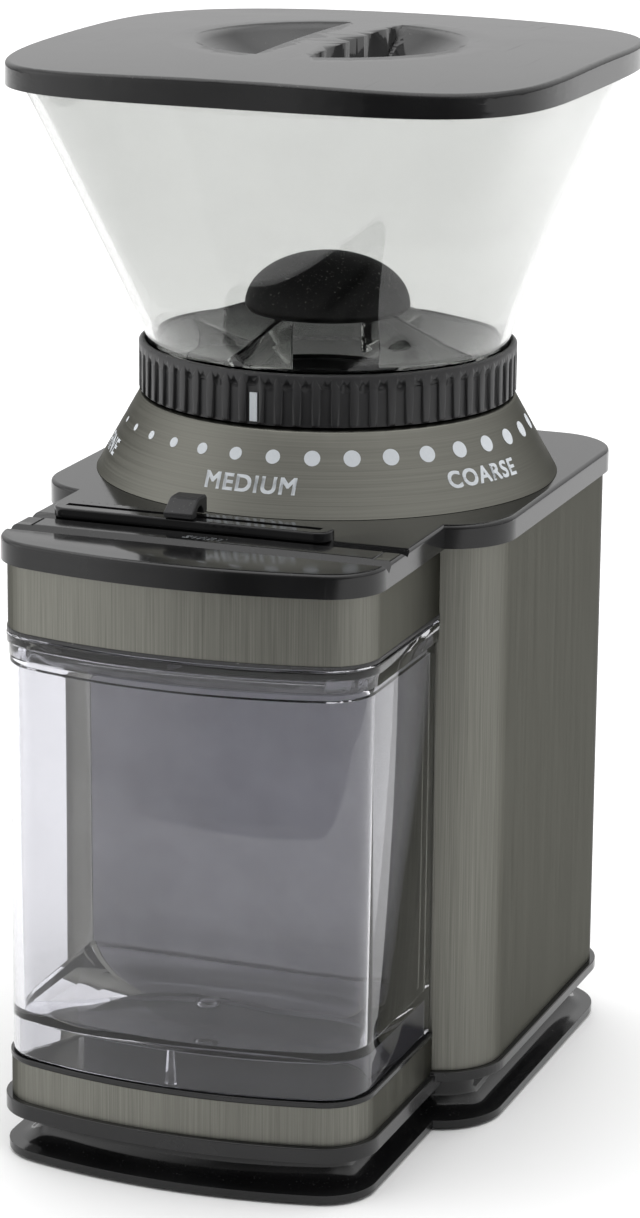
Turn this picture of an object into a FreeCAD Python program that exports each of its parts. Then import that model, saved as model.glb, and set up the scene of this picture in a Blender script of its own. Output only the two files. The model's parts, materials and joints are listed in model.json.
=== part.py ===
import FreeCAD, Part
import math
import os

# Burr coffee grinder, millimetres, +Z up, front towards -Y.
# Every piece is drawn about the burr axis at x = 0, y = 0 and is moved by Y_SHIFT when it is
# written, so that the origin of the part is the middle of its box on the surface it stands on.

# ---- driving dimensions: casing outline ----
HEAD_HALF = 48.1         # half width of the head and of the base under the grounds chamber
HEAD_FRONT = 102.4       # burr axis to the front corners of the head
HEAD_BOW = 8.0           # how far the front bows out at its middle
HEAD_CORNER = 13.4       # radius of the two front corners
COLUMN_HALF = 61.1       # half width of the column
COLUMN_FRONT = 49.0      # burr axis to the column's front face
COLUMN_BACK = 61.5       # burr axis to the column's back face
COLUMN_CORNER = 16.5     # radius of the column's corners
COVER_LIP = 1.45         # how far the cover and the skirt stand out past the steel
FOOT_LIP = 0.8           # how far the foot plate stands out past the steel
FOOT_INSET = 6.5         # how far the cove above the foot lip goes in
COVE_RADIUS = 5.0
STEEL = 0.8              # thickness of the steel skins
SHELL_WALL = 2.5         # wall of the plastic shells
FIT = 0.15               # clearance between pieces that are screwed together
SEAT = 0.3               # clearance under pieces that lift or slide off

# ---- driving dimensions: heights ----
FOOT_RISE = 0.8          # underside of the foot plate
FOOT_LIP_TOP = 2.8
HEAD_SKIRT_BOTTOM = 11.4
HEAD_SKIRT_TOP = 15.4
COLUMN_SKIRT_BOTTOM = 13.6
COLUMN_SKIRT_TOP = 16.2
BAND_TOP = 25.4
BAY_FLOOR = 26.9         # top of the deck that the grounds chamber stands on
HEAD_BOTTOM = 136.3
COVER_BOTTOM = 154.2
DECK = 160.2             # top of the cover

# ---- driving dimensions: dial, hopper and lid ----
DIAL_FOOT_RADIUS = 60.1
DIAL_TOP_RADIUS = 48.65
DIAL_TOP = 180.6
DIAL_WALL = 1.2
COLLAR_RADIUS = 49.0
COLLAR_WALL = 1.5
COLLAR_BOTTOM = 181.0
COLLAR_TOP = 194.4
COLLAR_RIBS = 64
INDEX_ANGLE = -92.0      # the pointer line, seen from above, from +X
FLARE_BOTTOM = 195.6     # where the hopper's sides start to flare
HOPPER_FOOT_RADIUS = 47.2
HOPPER_LIP_HALF = 67.8
HOPPER_LIP_BOTTOM = 261.5
HOPPER_TOP = 267.6
HOPPER_WALL = 2.2
HOPPER_SQUARE = 4.2      # exponent of the rounded square at the hopper's lip
THROAT_RADIUS = 18.5
DOME_RADIUS = 21.5
DOME_BOTTOM = 202.4
LEG_ANGLE = -15.0        # where the first of the four legs under the dome stands
DOME_WIDEST = 203.6
DOME_TOP = 217.3
LID_HALF = 72.0
LID_BOTTOM = 263.2
LID_RIM = 270.0
LID_TOP = 272.0
LID_WALL = 2.2
LID_SQUARE = 4.28
RECESS_RADIUS = 36.0
RECESS_DEPTH = 13.0
RECESS_BAR = 14.0

# ---- driving dimensions: deck controls ----
GROOVE_REAR = 75.0       # burr axis to the rear edge of the rear groove
GROOVE_FRONT = 88.5      # burr axis to the rear edge of the front groove
START_HALF = 44.6
START_FRONT = 88.2
START_BACK = 80.4
START_THICK = 1.8
START_TRAVEL = 1.0
RAIL_LEFT = -44.0
RAIL_RIGHT = 29.0
RAIL_FRONT = 78.6
RAIL_BACK = 70.0
RAIL_RISE = 2.5
KNOB_X = -9.6
KNOB_WIDTH = 7.6
KNOB_RISE = 4.4
LEVER_Y = -74.3
LEVER_THICK = 1.6

# ---- driving dimensions: grounds chamber ----
CHAMBER_INSET = 0.6
CHAMBER_WALL = 2.2
CHAMBER_FLOOR = 36.6
CHAMBER_FLOOR_THICK = 2.4
CHAMBER_SHOULDER = 130.1
CHAMBER_NECK = 133.3
CHAMBER_LID_TOP = 135.9
CHAMBER_LID_STEP = 133.6
CHAMBER_BACK = 49.6

# ---- driving dimensions: burrs and motor ----
SHAFT_RADIUS = 4.0
CUP_RADIUS = 38.0
CUP_WALL = 3.0
CUP_FLOOR = 138.5
CUP_TOP = 178.5
BURR_RADIUS = 21.5
BURR_THICK = 6.0
LOWER_BURR_BOTTOM = 160.0
BURR_GAP = 0.9
CHUTE_HALF = 12.0
CHUTE_LOW = 140.5
CHUTE_HIGH = 149.5
CHUTE_WALL = 1.5
CHUTE_END = 77.0
CHUTE_MOUTH = 56.0
ARMATURE_RADIUS = 19.2
AIR_GAP = 0.5
STACK_BOTTOM = 62.0
STACK_TOP = 104.0
STATOR_HALF_X = 38.0
STATOR_HALF_Y = 33.0
BEARING_RADIUS = 11.0
FRAME_PLATE = 31.5
FRAME_PLATE_THICK = 3.0
UPPER_FRAME = 112.0
UPRIGHT_X = 34.0
KEY_ANGLES = (40, 160, 280)   # where the adjusting ring's keys turn the upper burr
KEY_HALF = 1.7
CARRIER_RADIUS = CUP_RADIUS - CUP_WALL - 5.1   # the upper burr's carrier, inside the adjusting ring
KEY_TIP = CARRIER_RADIUS - 1.3
RING_INNER = CARRIER_RADIUS + 0.5
RING_OUTER = CUP_RADIUS - CUP_WALL - 0.4
VANE_REACH = CUP_RADIUS - CUP_WALL - 1.5       # the paddles under the lower burr
PLUNGER_REACH = CUP_RADIUS + 1.7               # burr axis to the hopper interlock's rod

FRONT_REACH = HEAD_FRONT + COVER_LIP + HEAD_BOW
Y_SHIFT = (FRONT_REACH - LID_HALF) / 2.0
UP = FreeCAD.Vector(0, 0, 1)
ORIGIN = FreeCAD.Vector(0, 0, 0)


# ---- small shape helpers ----
def box(x0, x1, y0, y1, z0, z1):
    corner = FreeCAD.Vector(x0, y0, z0)
    return Part.makeBox(x1 - x0, y1 - y0, z1 - z0, corner)


def cylinder(x, y, z0, z1, radius):
    return Part.makeCylinder(radius, z1 - z0, FreeCAD.Vector(x, y, z0), UP)


def cylinder_y(x, z, y0, y1, radius):
    return Part.makeCylinder(radius, y1 - y0, FreeCAD.Vector(x, y0, z), FreeCAD.Vector(0, 1, 0))


def tube(x, y, z0, z1, outer, inner):
    return cylinder(x, y, z0, z1, outer).cut(cylinder(x, y, z0 - 1, z1 + 1, inner))


def turned(profile):
    """A solid of revolution about the burr axis from (radius, height) corners."""
    corners = [FreeCAD.Vector(r, 0, z) for r, z in profile]
    corners.append(corners[0])
    return Part.Face(Part.makePolygon(corners)).revolve(ORIGIN, UP, 360)


def joined(pieces):
    whole = pieces[0].multiFuse(pieces[1:])
    return whole.removeSplitter()


def less(shape, cutters):
    return shape.cut(Part.makeCompound(cutters))


def around(shape, angle):
    copy = shape.copy()
    copy.rotate(ORIGIN, UP, angle)
    return copy


def rounded(shape, radius, wanted):
    edges = [edge for edge in shape.Edges if wanted(edge)]
    return shape.makeFillet(radius, edges)


def upright(edge):
    low, high = edge.BoundBox.ZMin, edge.BoundBox.ZMax
    flat = edge.BoundBox.XLength < 0.01 and edge.BoundBox.YLength < 0.01
    return flat and high - low > 0.01


def helix_spring(x, y, z0, z1, radius, wire, turns):
    """A round-wire compression spring standing on z0, built from one pipe."""
    pitch = (z1 - z0 - 2 * wire) / turns
    path = Part.makeHelix(pitch, pitch * turns, radius)
    ring = Part.makeCircle(wire, FreeCAD.Vector(radius, 0, 0), FreeCAD.Vector(0, 1, 0))
    coil = Part.Wire(path.Edges).makePipeShell([Part.Wire([ring])], True, True)
    coil.translate(FreeCAD.Vector(x, y, z0 + wire))
    return coil


def write(name, shape):
    placed = shape.copy()
    placed.translate(FreeCAD.Vector(0, Y_SHIFT, 0))
    if not placed.isValid():
        raise ValueError(name + " is not a valid shape")
    placed.exportStep("parts/" + name + ".step")


# ---- outlines shared by the casing pieces ----
def head_block(grow, z0, z1, back=COLUMN_FRONT):
    """The bowed front section, grown by a margin, from its front to y = -back."""
    half = HEAD_HALF + grow
    front = HEAD_FRONT + grow
    left = FreeCAD.Vector(-half, -front, z0)
    middle = FreeCAD.Vector(0, -front - HEAD_BOW, z0)
    right = FreeCAD.Vector(half, -front, z0)
    back_right = FreeCAD.Vector(half, -back, z0)
    back_left = FreeCAD.Vector(-half, -back, z0)
    rim = [Part.Arc(left, middle, right).toShape()]
    rim.append(Part.makeLine(right, back_right))
    rim.append(Part.makeLine(back_right, back_left))
    rim.append(Part.makeLine(back_left, left))
    block = Part.Face(Part.Wire(rim)).extrude(FreeCAD.Vector(0, 0, z1 - z0))
    radius = HEAD_CORNER + grow
    return rounded(block, radius, lambda e: upright(e) and e.BoundBox.YMin < 1 - front)


def column_block(grow, z0, z1):
    half = COLUMN_HALF + grow
    block = box(-half, half, -COLUMN_FRONT - grow, COLUMN_BACK + grow, z0, z1)
    return rounded(block, COLUMN_CORNER + grow, upright)


def t_block(grow, z0, z1):
    """The T-shaped plan of head and column together."""
    return joined([head_block(grow, z0, z1, COLUMN_FRONT - COLUMN_CORNER), column_block(grow, z0, z1)])


def rounded_square(half, exponent, z, points=48):
    """A closed smooth curve; an exponent of 2 is a circle, larger is squarer."""
    places = []
    for step in range(points):
        turn = 2 * math.pi * step / points
        span = abs(math.cos(turn)) ** exponent + abs(math.sin(turn)) ** exponent
        reach = half / span ** (1.0 / exponent)
        places.append(FreeCAD.Vector(reach * math.cos(turn), reach * math.sin(turn), z))
    curve = Part.BSplineCurve()
    curve.interpolate(Points=places, PeriodicFlag=True)
    return Part.Wire([curve.toShape()])


def square_block(half, exponent, z0, z1):
    face = Part.Face(rounded_square(half, exponent, z0))
    return face.extrude(FreeCAD.Vector(0, 0, z1 - z0))


def flared_tub(foot, lip, bottom, top):
    """A round foot, straight sides flaring to a rounded square, and an upright lip."""
    rim = Part.Wire([Part.makeCircle(foot, FreeCAD.Vector(0, 0, FLARE_BOTTOM))])
    lip_wire = rounded_square(lip, HOPPER_SQUARE, HOPPER_LIP_BOTTOM)
    sides = Part.makeLoft([rim, lip_wire], True, True)
    stem = cylinder(0, 0, bottom, FLARE_BOTTOM, foot)
    upright_lip = square_block(lip, HOPPER_SQUARE, HOPPER_LIP_BOTTOM, top)
    return stem.multiFuse([sides, upright_lip])


# ---- base ----
FOOT_PLACES = [(-38, -88), (38, -88), (-48, 44), (48, 44)]
BASE_SCREW_PLACES = [(-30, -70), (30, -70), (-50, -20), (50, -20), (-30, 48), (30, 48)]
BUSH_PLACES = [(-44, -30), (44, -30), (-44, 42), (44, 42)]


def coved(lip, wall, keep_back):
    """A lip and the narrower wall above it, blended by a concave curve."""
    body = joined([lip, wall])

    def seam(edge):
        flat = edge.BoundBox.ZLength < 0.01 and abs(edge.BoundBox.ZMin - FOOT_LIP_TOP) < 0.01
        at_wall = edge.distToShape(wall)[0] < 0.01
        return flat and at_wall and edge.BoundBox.YMin < keep_back

    return rounded(body, COVE_RADIUS, seam)


def foot_plate():
    back = COLUMN_FRONT - COLUMN_CORNER
    head_lip = head_block(FOOT_LIP, FOOT_RISE, FOOT_LIP_TOP, back)
    head_wall = head_block(-FOOT_INSET, FOOT_LIP_TOP, HEAD_SKIRT_BOTTOM - FIT, back)
    column_lip = column_block(FOOT_LIP, FOOT_RISE, FOOT_LIP_TOP)
    column_wall = column_block(-FOOT_INSET, FOOT_LIP_TOP, COLUMN_SKIRT_BOTTOM - FIT)
    head = coved(head_lip, head_wall, -back - 0.1)
    column = coved(column_lip, column_wall, COLUMN_BACK)
    body = joined([head, column])
    margin = FOOT_INSET + SHELL_WALL
    hollow = t_block(-margin, FOOT_LIP_TOP, COLUMN_SKIRT_BOTTOM + 1)
    body = body.cut(hollow)
    bosses = []
    for x, y in BASE_SCREW_PLACES:
        top = HEAD_SKIRT_BOTTOM if y < -COLUMN_FRONT else COLUMN_SKIRT_BOTTOM
        bosses.append(cylinder(x, y, FOOT_RISE + 1, top - FIT, 5.0))
    body = joined([body] + bosses)
    holes = []
    for x, y in BASE_SCREW_PLACES:
        holes.append(cylinder(x, y, 0, 20, 2.1))
        holes.append(cylinder(x, y, 0, 4.2, 3.8))
    for x, y in FOOT_PLACES:
        holes.append(cylinder(x, y, 0, FOOT_RISE + 1.0, 7.2))
    return less(body, holes)


def rubber_feet():
    feet = []
    for x, y in FOOT_PLACES:
        foot = cylinder(x, y, 0, FOOT_RISE + 1.0 - 0.1, 7.0)
        feet.append(rounded(foot, 0.4, lambda e: e.BoundBox.ZMax < 0.01))
    return Part.makeCompound(feet)


def base_tray():
    skirt_back = COLUMN_FRONT - FOOT_INSET + SEAT
    head_skirt = head_block(COVER_LIP, HEAD_SKIRT_BOTTOM, HEAD_SKIRT_TOP, skirt_back)
    column_skirt = column_block(COVER_LIP, COLUMN_SKIRT_BOTTOM, COLUMN_SKIRT_TOP)
    inner = -STEEL - FIT
    pedestal = head_block(inner, HEAD_SKIRT_TOP - 1, BAND_TOP + 0.5, COLUMN_FRONT + FIT)
    deck = head_block(0.25, BAND_TOP + 0.1, BAY_FLOOR, COLUMN_FRONT + FIT)
    key = column_block(inner - SHELL_WALL - FIT, COLUMN_SKIRT_TOP - 1, COLUMN_SKIRT_TOP + 1.4)
    posts = [cylinder(x, y, COLUMN_SKIRT_TOP, 28, 6.0) for x, y in BUSH_PLACES]
    body = joined([head_skirt, column_skirt, pedestal, deck, key] + posts)
    pocket = head_block(inner - SHELL_WALL, HEAD_SKIRT_BOTTOM - 1, BAND_TOP - 2.4, COLUMN_FRONT + 3)
    body = body.cut(pocket)
    bosses = []
    for x, y in BASE_SCREW_PLACES[:2]:
        bosses.append(cylinder(x, y, HEAD_SKIRT_BOTTOM + FIT, BAND_TOP - 2, 4.5))
    body = joined([body] + bosses)
    holes = [cylinder(x, y, 0, 22, 1.9) for x, y in BASE_SCREW_PLACES]
    holes += [cylinder(x, y, 18.5, 30, 2.1) for x, y in BUSH_PLACES]
    for index in range(7):
        x = -24 + 8 * index
        holes.append(box(x - 2, x + 2, -22, 22, 10, 20))
    return less(body, holes)


def base_screws():
    screws = []
    for x, y in BASE_SCREW_PLACES:
        head = cylinder(x, y, 2.0, 4.1, 3.5)
        shank = cylinder(x, y, 4.0, 16.0, 1.8)
        slot = box(x - 2.2, x + 2.2, y - 0.5, y + 0.5, 1.9, 2.9)
        cross = box(x - 0.5, x + 0.5, y - 2.2, y + 2.2, 1.9, 2.9)
        screws.append(less(joined([head, shank]), [slot, cross]))
    return Part.makeCompound(screws)


def front_skin(z0, z1):
    """Brushed sheet bent round the front section: both sides and the bowed front."""
    outer = head_block(0, z0, z1, COLUMN_FRONT + FIT)
    inner = head_block(-STEEL, z0 - 1, z1 + 1, COLUMN_FRONT - 5)
    return outer.cut(inner)


# ---- column ----
GLAND_X = -36.0
GLAND_Z = 26.0
SWITCH_X = 32.0
SWITCH_Z = 124.0
HOUSING_SCREW_PLACES = [(-47, -34), (47, -34), (-47, 46), (47, 46)]
HEAD_SCREW_X = 36.0
HEAD_SCREW_Z = 146.0
BAY_HALF = 46.5
VENT_COUNT = 11


def vent_slots():
    slots = []
    for index in range(VENT_COUNT):
        x = (index - (VENT_COUNT - 1) / 2.0) * 6.0
        slots.append(box(x - 1.3, x + 1.3, COLUMN_BACK - 8, COLUMN_BACK + 4, 44, 66))
    return slots


def steel_wrap():
    low, high = COLUMN_SKIRT_TOP + 0.1, COVER_BOTTOM - 0.1
    skin = column_block(0, low, high).cut(column_block(-STEEL, low - 1, high + 1))
    bay = box(-BAY_HALF, BAY_HALF, -COLUMN_FRONT - 2, -COLUMN_FRONT + 3, low - 1, high + 1)
    gland = cylinder_y(GLAND_X, GLAND_Z, COLUMN_BACK - 5, COLUMN_BACK + 5, 6.3)
    return less(skin, [bay, gland] + vent_slots())


def column_shell():
    low, high = COLUMN_SKIRT_TOP + 0.1, COVER_BOTTOM - 0.1
    outside = -STEEL - FIT
    inside = outside - SHELL_WALL
    shell = column_block(outside, low, high).cut(column_block(inside, low - 1, high + 1))
    face = COLUMN_FRONT - STEEL - FIT
    bay_wall = box(-BAY_HALF + 0.3, BAY_HALF - 0.3, -COLUMN_FRONT + 0.05, -face + 0.5, low, high)
    posts = []
    for x, y in HOUSING_SCREW_PLACES:
        side = 1 if x > 0 else -1
        reach = side * (COLUMN_HALF + outside - 1)
        posts.append(cylinder(x, y, 112, 150.3, 4.5))
        posts.append(box(min(x, reach), max(x, reach), y - 1.5, y + 1.5, 112, 150.3))
    body = joined([shell, bay_wall] + posts)
    holes = [cylinder(x, y, 128, 160, 1.9) for x, y in HOUSING_SCREW_PLACES]
    holes.append(box(-CHUTE_HALF - 3, CHUTE_HALF + 3, -COLUMN_FRONT - 3, -COLUMN_FRONT + 6, 138, high + 1))
    holes.append(cylinder_y(GLAND_X, GLAND_Z, COLUMN_BACK - 8, COLUMN_BACK + 5, 6.3))
    holes.append(cylinder_y(SWITCH_X, SWITCH_Z, -COLUMN_FRONT - 3, -COLUMN_FRONT + 8, 2.4))
    for x in (-HEAD_SCREW_X, HEAD_SCREW_X):
        holes.append(cylinder_y(x, HEAD_SCREW_Z, -COLUMN_FRONT - 3, -COLUMN_FRONT + 8, 2.0))
    return less(body, holes + vent_slots())


def cord_gland():
    outer = cylinder_y(GLAND_X, GLAND_Z, COLUMN_BACK + 0.2, COLUMN_BACK + 2.4, 8.6)
    outer = rounded(outer, 0.9, lambda e: e.BoundBox.YMin > COLUMN_BACK + 2.3)
    neck = cylinder_y(GLAND_X, GLAND_Z, COLUMN_BACK - 7, COLUMN_BACK + 0.5, 6.1)
    nut = cylinder_y(GLAND_X, GLAND_Z, COLUMN_BACK - 7, COLUMN_BACK - 4.0, 7.8)
    bore = cylinder_y(GLAND_X, GLAND_Z, COLUMN_BACK - 9, COLUMN_BACK + 5, 3.6)
    return joined([outer, neck, nut]).cut(bore)


# ---- head and cover ----
BOARD_SCREW_PLACES = [(-31, -93), (31, -93), (-31, -83), (31, -83)]
SPRING_X = 41.4
SPRING_Y = -84.4
START_SWITCH_X = 21.0
HEAD_FLOOR = 2.0


def head_shell():
    outside = -STEEL - FIT
    shell = head_block(outside, HEAD_BOTTOM + 0.2, COVER_BOTTOM - 0.1, COLUMN_FRONT + FIT)
    lip = head_block(0.2, HEAD_BOTTOM, HEAD_BOTTOM + 0.9, COLUMN_FRONT + FIT)
    inside = outside - SHELL_WALL
    hollow = head_block(inside, HEAD_BOTTOM + HEAD_FLOOR, DECK + 5, COLUMN_FRONT + 2.4)
    body = joined([shell, lip]).cut(hollow)
    standoffs = [cylinder(x, y, HEAD_BOTTOM + 1, 141, 2.6) for x, y in BOARD_SCREW_PLACES]
    for x in (-SPRING_X, SPRING_X):
        standoffs.append(cylinder(x, SPRING_Y, HEAD_BOTTOM + 1, 150, 2.7))
    for x in (-HEAD_SCREW_X, HEAD_SCREW_X):
        standoffs.append(cylinder_y(x, HEAD_SCREW_Z, -COLUMN_FRONT - 10, -COLUMN_FRONT - 1, 4.0))
    body = joined([body] + standoffs)
    mouth = box(-CHUTE_HALF - 2.2, CHUTE_HALF + 2.2, -CHUTE_END - 0.7, -COLUMN_FRONT + 2, 130, 153)
    holes = [mouth]
    holes += [cylinder(x, y, HEAD_BOTTOM + 2.6, 145, 1.1) for x, y in BOARD_SCREW_PLACES]
    for x in (-HEAD_SCREW_X, HEAD_SCREW_X):
        holes.append(cylinder_y(x, HEAD_SCREW_Z, -COLUMN_FRONT - 9, -COLUMN_FRONT + 5, 1.7))
    return less(body, holes)


def head_screws():
    screws = []
    for x in (-HEAD_SCREW_X, HEAD_SCREW_X):
        inner = -COLUMN_FRONT + STEEL + FIT + SHELL_WALL
        head = cylinder_y(x, HEAD_SCREW_Z, inner + 0.05, inner + 2.2, 3.4)
        shank = cylinder_y(x, HEAD_SCREW_Z, -COLUMN_FRONT - 8.5, inner + 0.2, 1.6)
        screws.append(joined([head, shank]))
    return Part.makeCompound(screws)


def groove(rear, depth, steep, gentle):
    """A V groove across the deck: a steep rear wall and a gentler front wall."""
    reach = HEAD_HALF + COVER_LIP + 5
    corners = [(-rear, DECK + 2), (-rear, DECK), (-rear - steep, DECK - depth)]
    corners += [(-rear - steep - gentle, DECK), (-rear - steep - gentle, DECK + 2)]
    points = [FreeCAD.Vector(-reach, y, z) for y, z in corners]
    points.append(points[0])
    return Part.Face(Part.makePolygon(points)).extrude(FreeCAD.Vector(2 * reach, 0, 0))


def top_cover():
    body = t_block(COVER_LIP, COVER_BOTTOM, DECK)
    body = rounded(body, 1.1, lambda e: e.BoundBox.ZMin > DECK - 0.01)
    inside = COVER_LIP - SHELL_WALL
    cavities = [head_block(inside, COVER_BOTTOM - 1, DECK - 3.6, COLUMN_FRONT - 20)]
    cavities.append(column_block(inside, COVER_BOTTOM - 1, DECK - SHELL_WALL))
    body = less(body, cavities)
    cuts = [groove(GROOVE_REAR, 1.5, 2.8, 3.0), groove(GROOVE_FRONT, 2.4, 2.4, 3.0)]
    cuts.append(cylinder(0, 0, 150, 165, CUP_RADIUS + 8))
    pocket = box(-START_HALF - 0.3, START_HALF + 0.3, -START_FRONT - 0.3, -START_BACK + 0.3, DECK - 3.2, DECK + 1)
    cuts.append(pocket)
    for x in (-SPRING_X, SPRING_X):
        cuts.append(cylinder(x, SPRING_Y, 150, DECK, 2.9))
    cuts.append(cylinder(START_SWITCH_X, SPRING_Y, 150, DECK, 3.0))
    left, right = RAIL_LEFT + 2.6, RAIL_RIGHT - 2.6
    cuts.append(box(left, right, LEVER_Y - 1.3, LEVER_Y + 1.3, 150, DECK + 1))
    return less(body, cuts)


def selector_rail():
    top = DECK + RAIL_RISE
    rail = box(RAIL_LEFT, RAIL_RIGHT, -RAIL_FRONT, -RAIL_BACK, DECK + 0.05, top)
    rail = rounded(rail, 3.6, upright)
    rail = rounded(rail, 0.5, lambda e: e.BoundBox.ZMin > top - 0.01)
    left, right = RAIL_LEFT + 2.8, RAIL_RIGHT - 2.8
    cuts = [box(left, right, LEVER_Y - 1.1, LEVER_Y + 1.1, DECK - 1, top + 1)]
    count = 30
    for index in range(count):
        x = RAIL_LEFT + 6 + index * (RAIL_RIGHT - RAIL_LEFT - 12) / (count - 1.0)
        cuts.append(box(x - 0.45, x + 0.45, -RAIL_BACK - 0.9, -RAIL_BACK + 1, top - 0.7, top + 1))
    return less(rail, cuts)


def cup_knob():
    base = DECK + RAIL_RISE + SEAT
    top = base + KNOB_RISE
    front, back = -RAIL_FRONT - 0.7, -RAIL_BACK + 0.7
    corners = [(front, base), (front, base + 1.4), (front + 1.2, base + 2.2), (front + 4.0, top - 0.3)]
    corners += [(front + 5.0, top), (back - 0.6, top), (back, top - 0.6), (back, base)]
    points = [FreeCAD.Vector(KNOB_X - KNOB_WIDTH / 2.0, y, z) for y, z in corners]
    points.append(points[0])
    knob = Part.Face(Part.makePolygon(points)).extrude(FreeCAD.Vector(KNOB_WIDTH, 0, 0))
    knob = rounded(knob, 0.45, lambda e: e.BoundBox.ZMin > base + 0.1)
    scoop = Part.makeCylinder(2.3, 2.2, FreeCAD.Vector(KNOB_X + KNOB_WIDTH / 2.0 - 1.6, back - 4.6, base),
                              FreeCAD.Vector(1, 0, 0))
    return knob.cut(scoop)


def pot_lever():
    half = LEVER_THICK / 2.0
    foot = DECK - 5.9
    top = DECK + RAIL_RISE + SEAT
    return box(KNOB_X - 1.9, KNOB_X + 1.9, LEVER_Y - half, LEVER_Y + half, foot, top)


def slide_potentiometer():
    top = DECK - 3.6 - SEAT
    low = CHUTE_HIGH + CHUTE_WALL + SEAT
    body = box(RAIL_LEFT + 0.5, RAIL_RIGHT - 0.5, LEVER_Y - 3.7, LEVER_Y + 3.7, low, top)
    track = box(RAIL_LEFT + 2.4, RAIL_RIGHT - 2.4, LEVER_Y - 1.2, LEVER_Y + 1.2, low + 1.5, top + 1)
    return body.cut(track)


def start_bar():
    top = DECK + 0.1
    strip = box(-START_HALF, START_HALF, -START_FRONT, -START_BACK, top - START_THICK, top)
    strip = rounded(strip, 0.6, lambda e: e.BoundBox.ZMin > top - 0.01)
    stem = cylinder(START_SWITCH_X, SPRING_Y, DECK - 2.6, top - 1, 2.0)
    return joined([strip, stem])


def start_springs():
    springs = []
    for x in (-SPRING_X, SPRING_X):
        springs.append(helix_spring(x, SPRING_Y, 150.1, DECK - START_THICK - 0.05, 1.8, 0.3, 6))
    return Part.makeCompound(springs)


def start_switch():
    body = box(START_SWITCH_X - 6, START_SWITCH_X + 6, SPRING_Y - 3.4, SPRING_Y + 3.4, 142.8, 154.5)
    button = cylinder(START_SWITCH_X, SPRING_Y, 154, DECK - 2.6 - START_TRAVEL - 0.2, 1.6)
    return joined([body, button])


def timer_board():
    board = box(-37, 37, -97, -79.2, 141.1, 142.7)
    chip = box(-12, 6, -92, -85, 142.7, 145.2)
    relay = box(-27, -15, -90, -81, 142.7, 152)
    capacitor = cylinder(8, -94, 142.7, 151, 2.6)
    body = joined([board, chip, relay, capacitor])
    holes = [cylinder(x, y, 135, 145, 1.5) for x, y in BOARD_SCREW_PLACES]
    return less(body, holes)


def board_screws():
    screws = []
    for x, y in BOARD_SCREW_PLACES:
        screws.append(joined([cylinder(x, y, 142.8, 144.4, 2.2), cylinder(x, y, 139.5, 143, 1.0)]))
    return Part.makeCompound(screws)


# ---- dial and burr housing ----
def dial_cone():
    slope = (DIAL_FOOT_RADIUS - DIAL_TOP_RADIUS) / (DIAL_TOP - DECK)
    low = DECK + 0.1
    foot = DIAL_FOOT_RADIUS - slope * 0.1
    profile = [(foot, low), (DIAL_TOP_RADIUS + 0.5, DIAL_TOP - 0.9), (DIAL_TOP_RADIUS - 0.2, DIAL_TOP)]
    profile += [(43.5, DIAL_TOP), (43.5, DIAL_TOP - DIAL_WALL), (DIAL_TOP_RADIUS - 1.4, DIAL_TOP - DIAL_WALL)]
    profile += [(foot - DIAL_WALL, low)]
    return turned(profile)


def chute_blocks():
    wall = CHUTE_WALL
    low, high = CHUTE_LOW, CHUTE_HIGH
    duct = box(-CHUTE_HALF - wall, CHUTE_HALF + wall, -CHUTE_END, -30, low - wall, high + wall)
    spout = box(-CHUTE_HALF - wall, CHUTE_HALF + wall, -CHUTE_END, -CHUTE_MOUTH + wall, HEAD_BOTTOM + 0.2, low)
    bore = box(-CHUTE_HALF, CHUTE_HALF, -CHUTE_END + wall, -28, low, high)
    mouth = box(-CHUTE_HALF, CHUTE_HALF, -CHUTE_END + wall, -CHUTE_MOUTH, HEAD_BOTTOM - 1, low + 1)
    return duct, spout, bore, mouth


def burr_housing():
    duct, spout, bore, mouth = chute_blocks()
    cup = cylinder(0, 0, CUP_FLOOR, CUP_TOP, CUP_RADIUS)
    plate = rounded(box(-53, 53, -40, 52, 150.5, 152.7), 6, upright)
    detent = cylinder(0, CUP_RADIUS + 2.3, 160, 178.9, 3.0)
    body = joined([cup, plate, duct, spout, detent])
    hollow = cylinder(0, 0, CHUTE_LOW, CUP_TOP + 1, CUP_RADIUS - CUP_WALL)
    cuts = [hollow, bore, mouth, cylinder(0, 0, 130, 145, 6.0)]
    cuts.append(cylinder(0, CUP_RADIUS + 2.3, 166, 180, 2.1))
    cuts += [cylinder(x, y, 145, 160, 1.9) for x, y in HOUSING_SCREW_PLACES]
    return less(body, cuts)


def housing_screws():
    screws = []
    for x, y in HOUSING_SCREW_PLACES:
        screws.append(joined([cylinder(x, y, 152.8, 154.8, 3.3), cylinder(x, y, 136, 153, 1.7)]))
    return Part.makeCompound(screws)


def detent_ball():
    return Part.makeSphere(1.8, FreeCAD.Vector(0, CUP_RADIUS + 2.3, 179.2))


def detent_spring():
    return helix_spring(0, CUP_RADIUS + 2.3, 166.1, 177.3, 1.5, 0.25, 7)


def shaft_seal():
    return tube(0, 0, CUP_FLOOR - 3.2, CUP_FLOOR - 0.1, 9.0, SHAFT_RADIUS + 0.05)


def hopper_switch():
    body = box(-PLUNGER_REACH - 5.1, -PLUNGER_REACH + 1.3, -7, 7, 152.8, 159.5)
    rod = cylinder(-PLUNGER_REACH, 0, 159, 180.9, 1.1)
    return joined([body, rod])


def chamber_switch():
    inner = -COLUMN_FRONT + STEEL + FIT + SHELL_WALL
    body = box(SWITCH_X - 10, SWITCH_X + 6, inner + 0.1, inner + 6.5, SWITCH_Z - 6, SWITCH_Z + 6)
    plunger = cylinder_y(SWITCH_X, SWITCH_Z, -COLUMN_FRONT - 0.3, inner + 1, 2.0)
    return joined([body, plunger])


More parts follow.
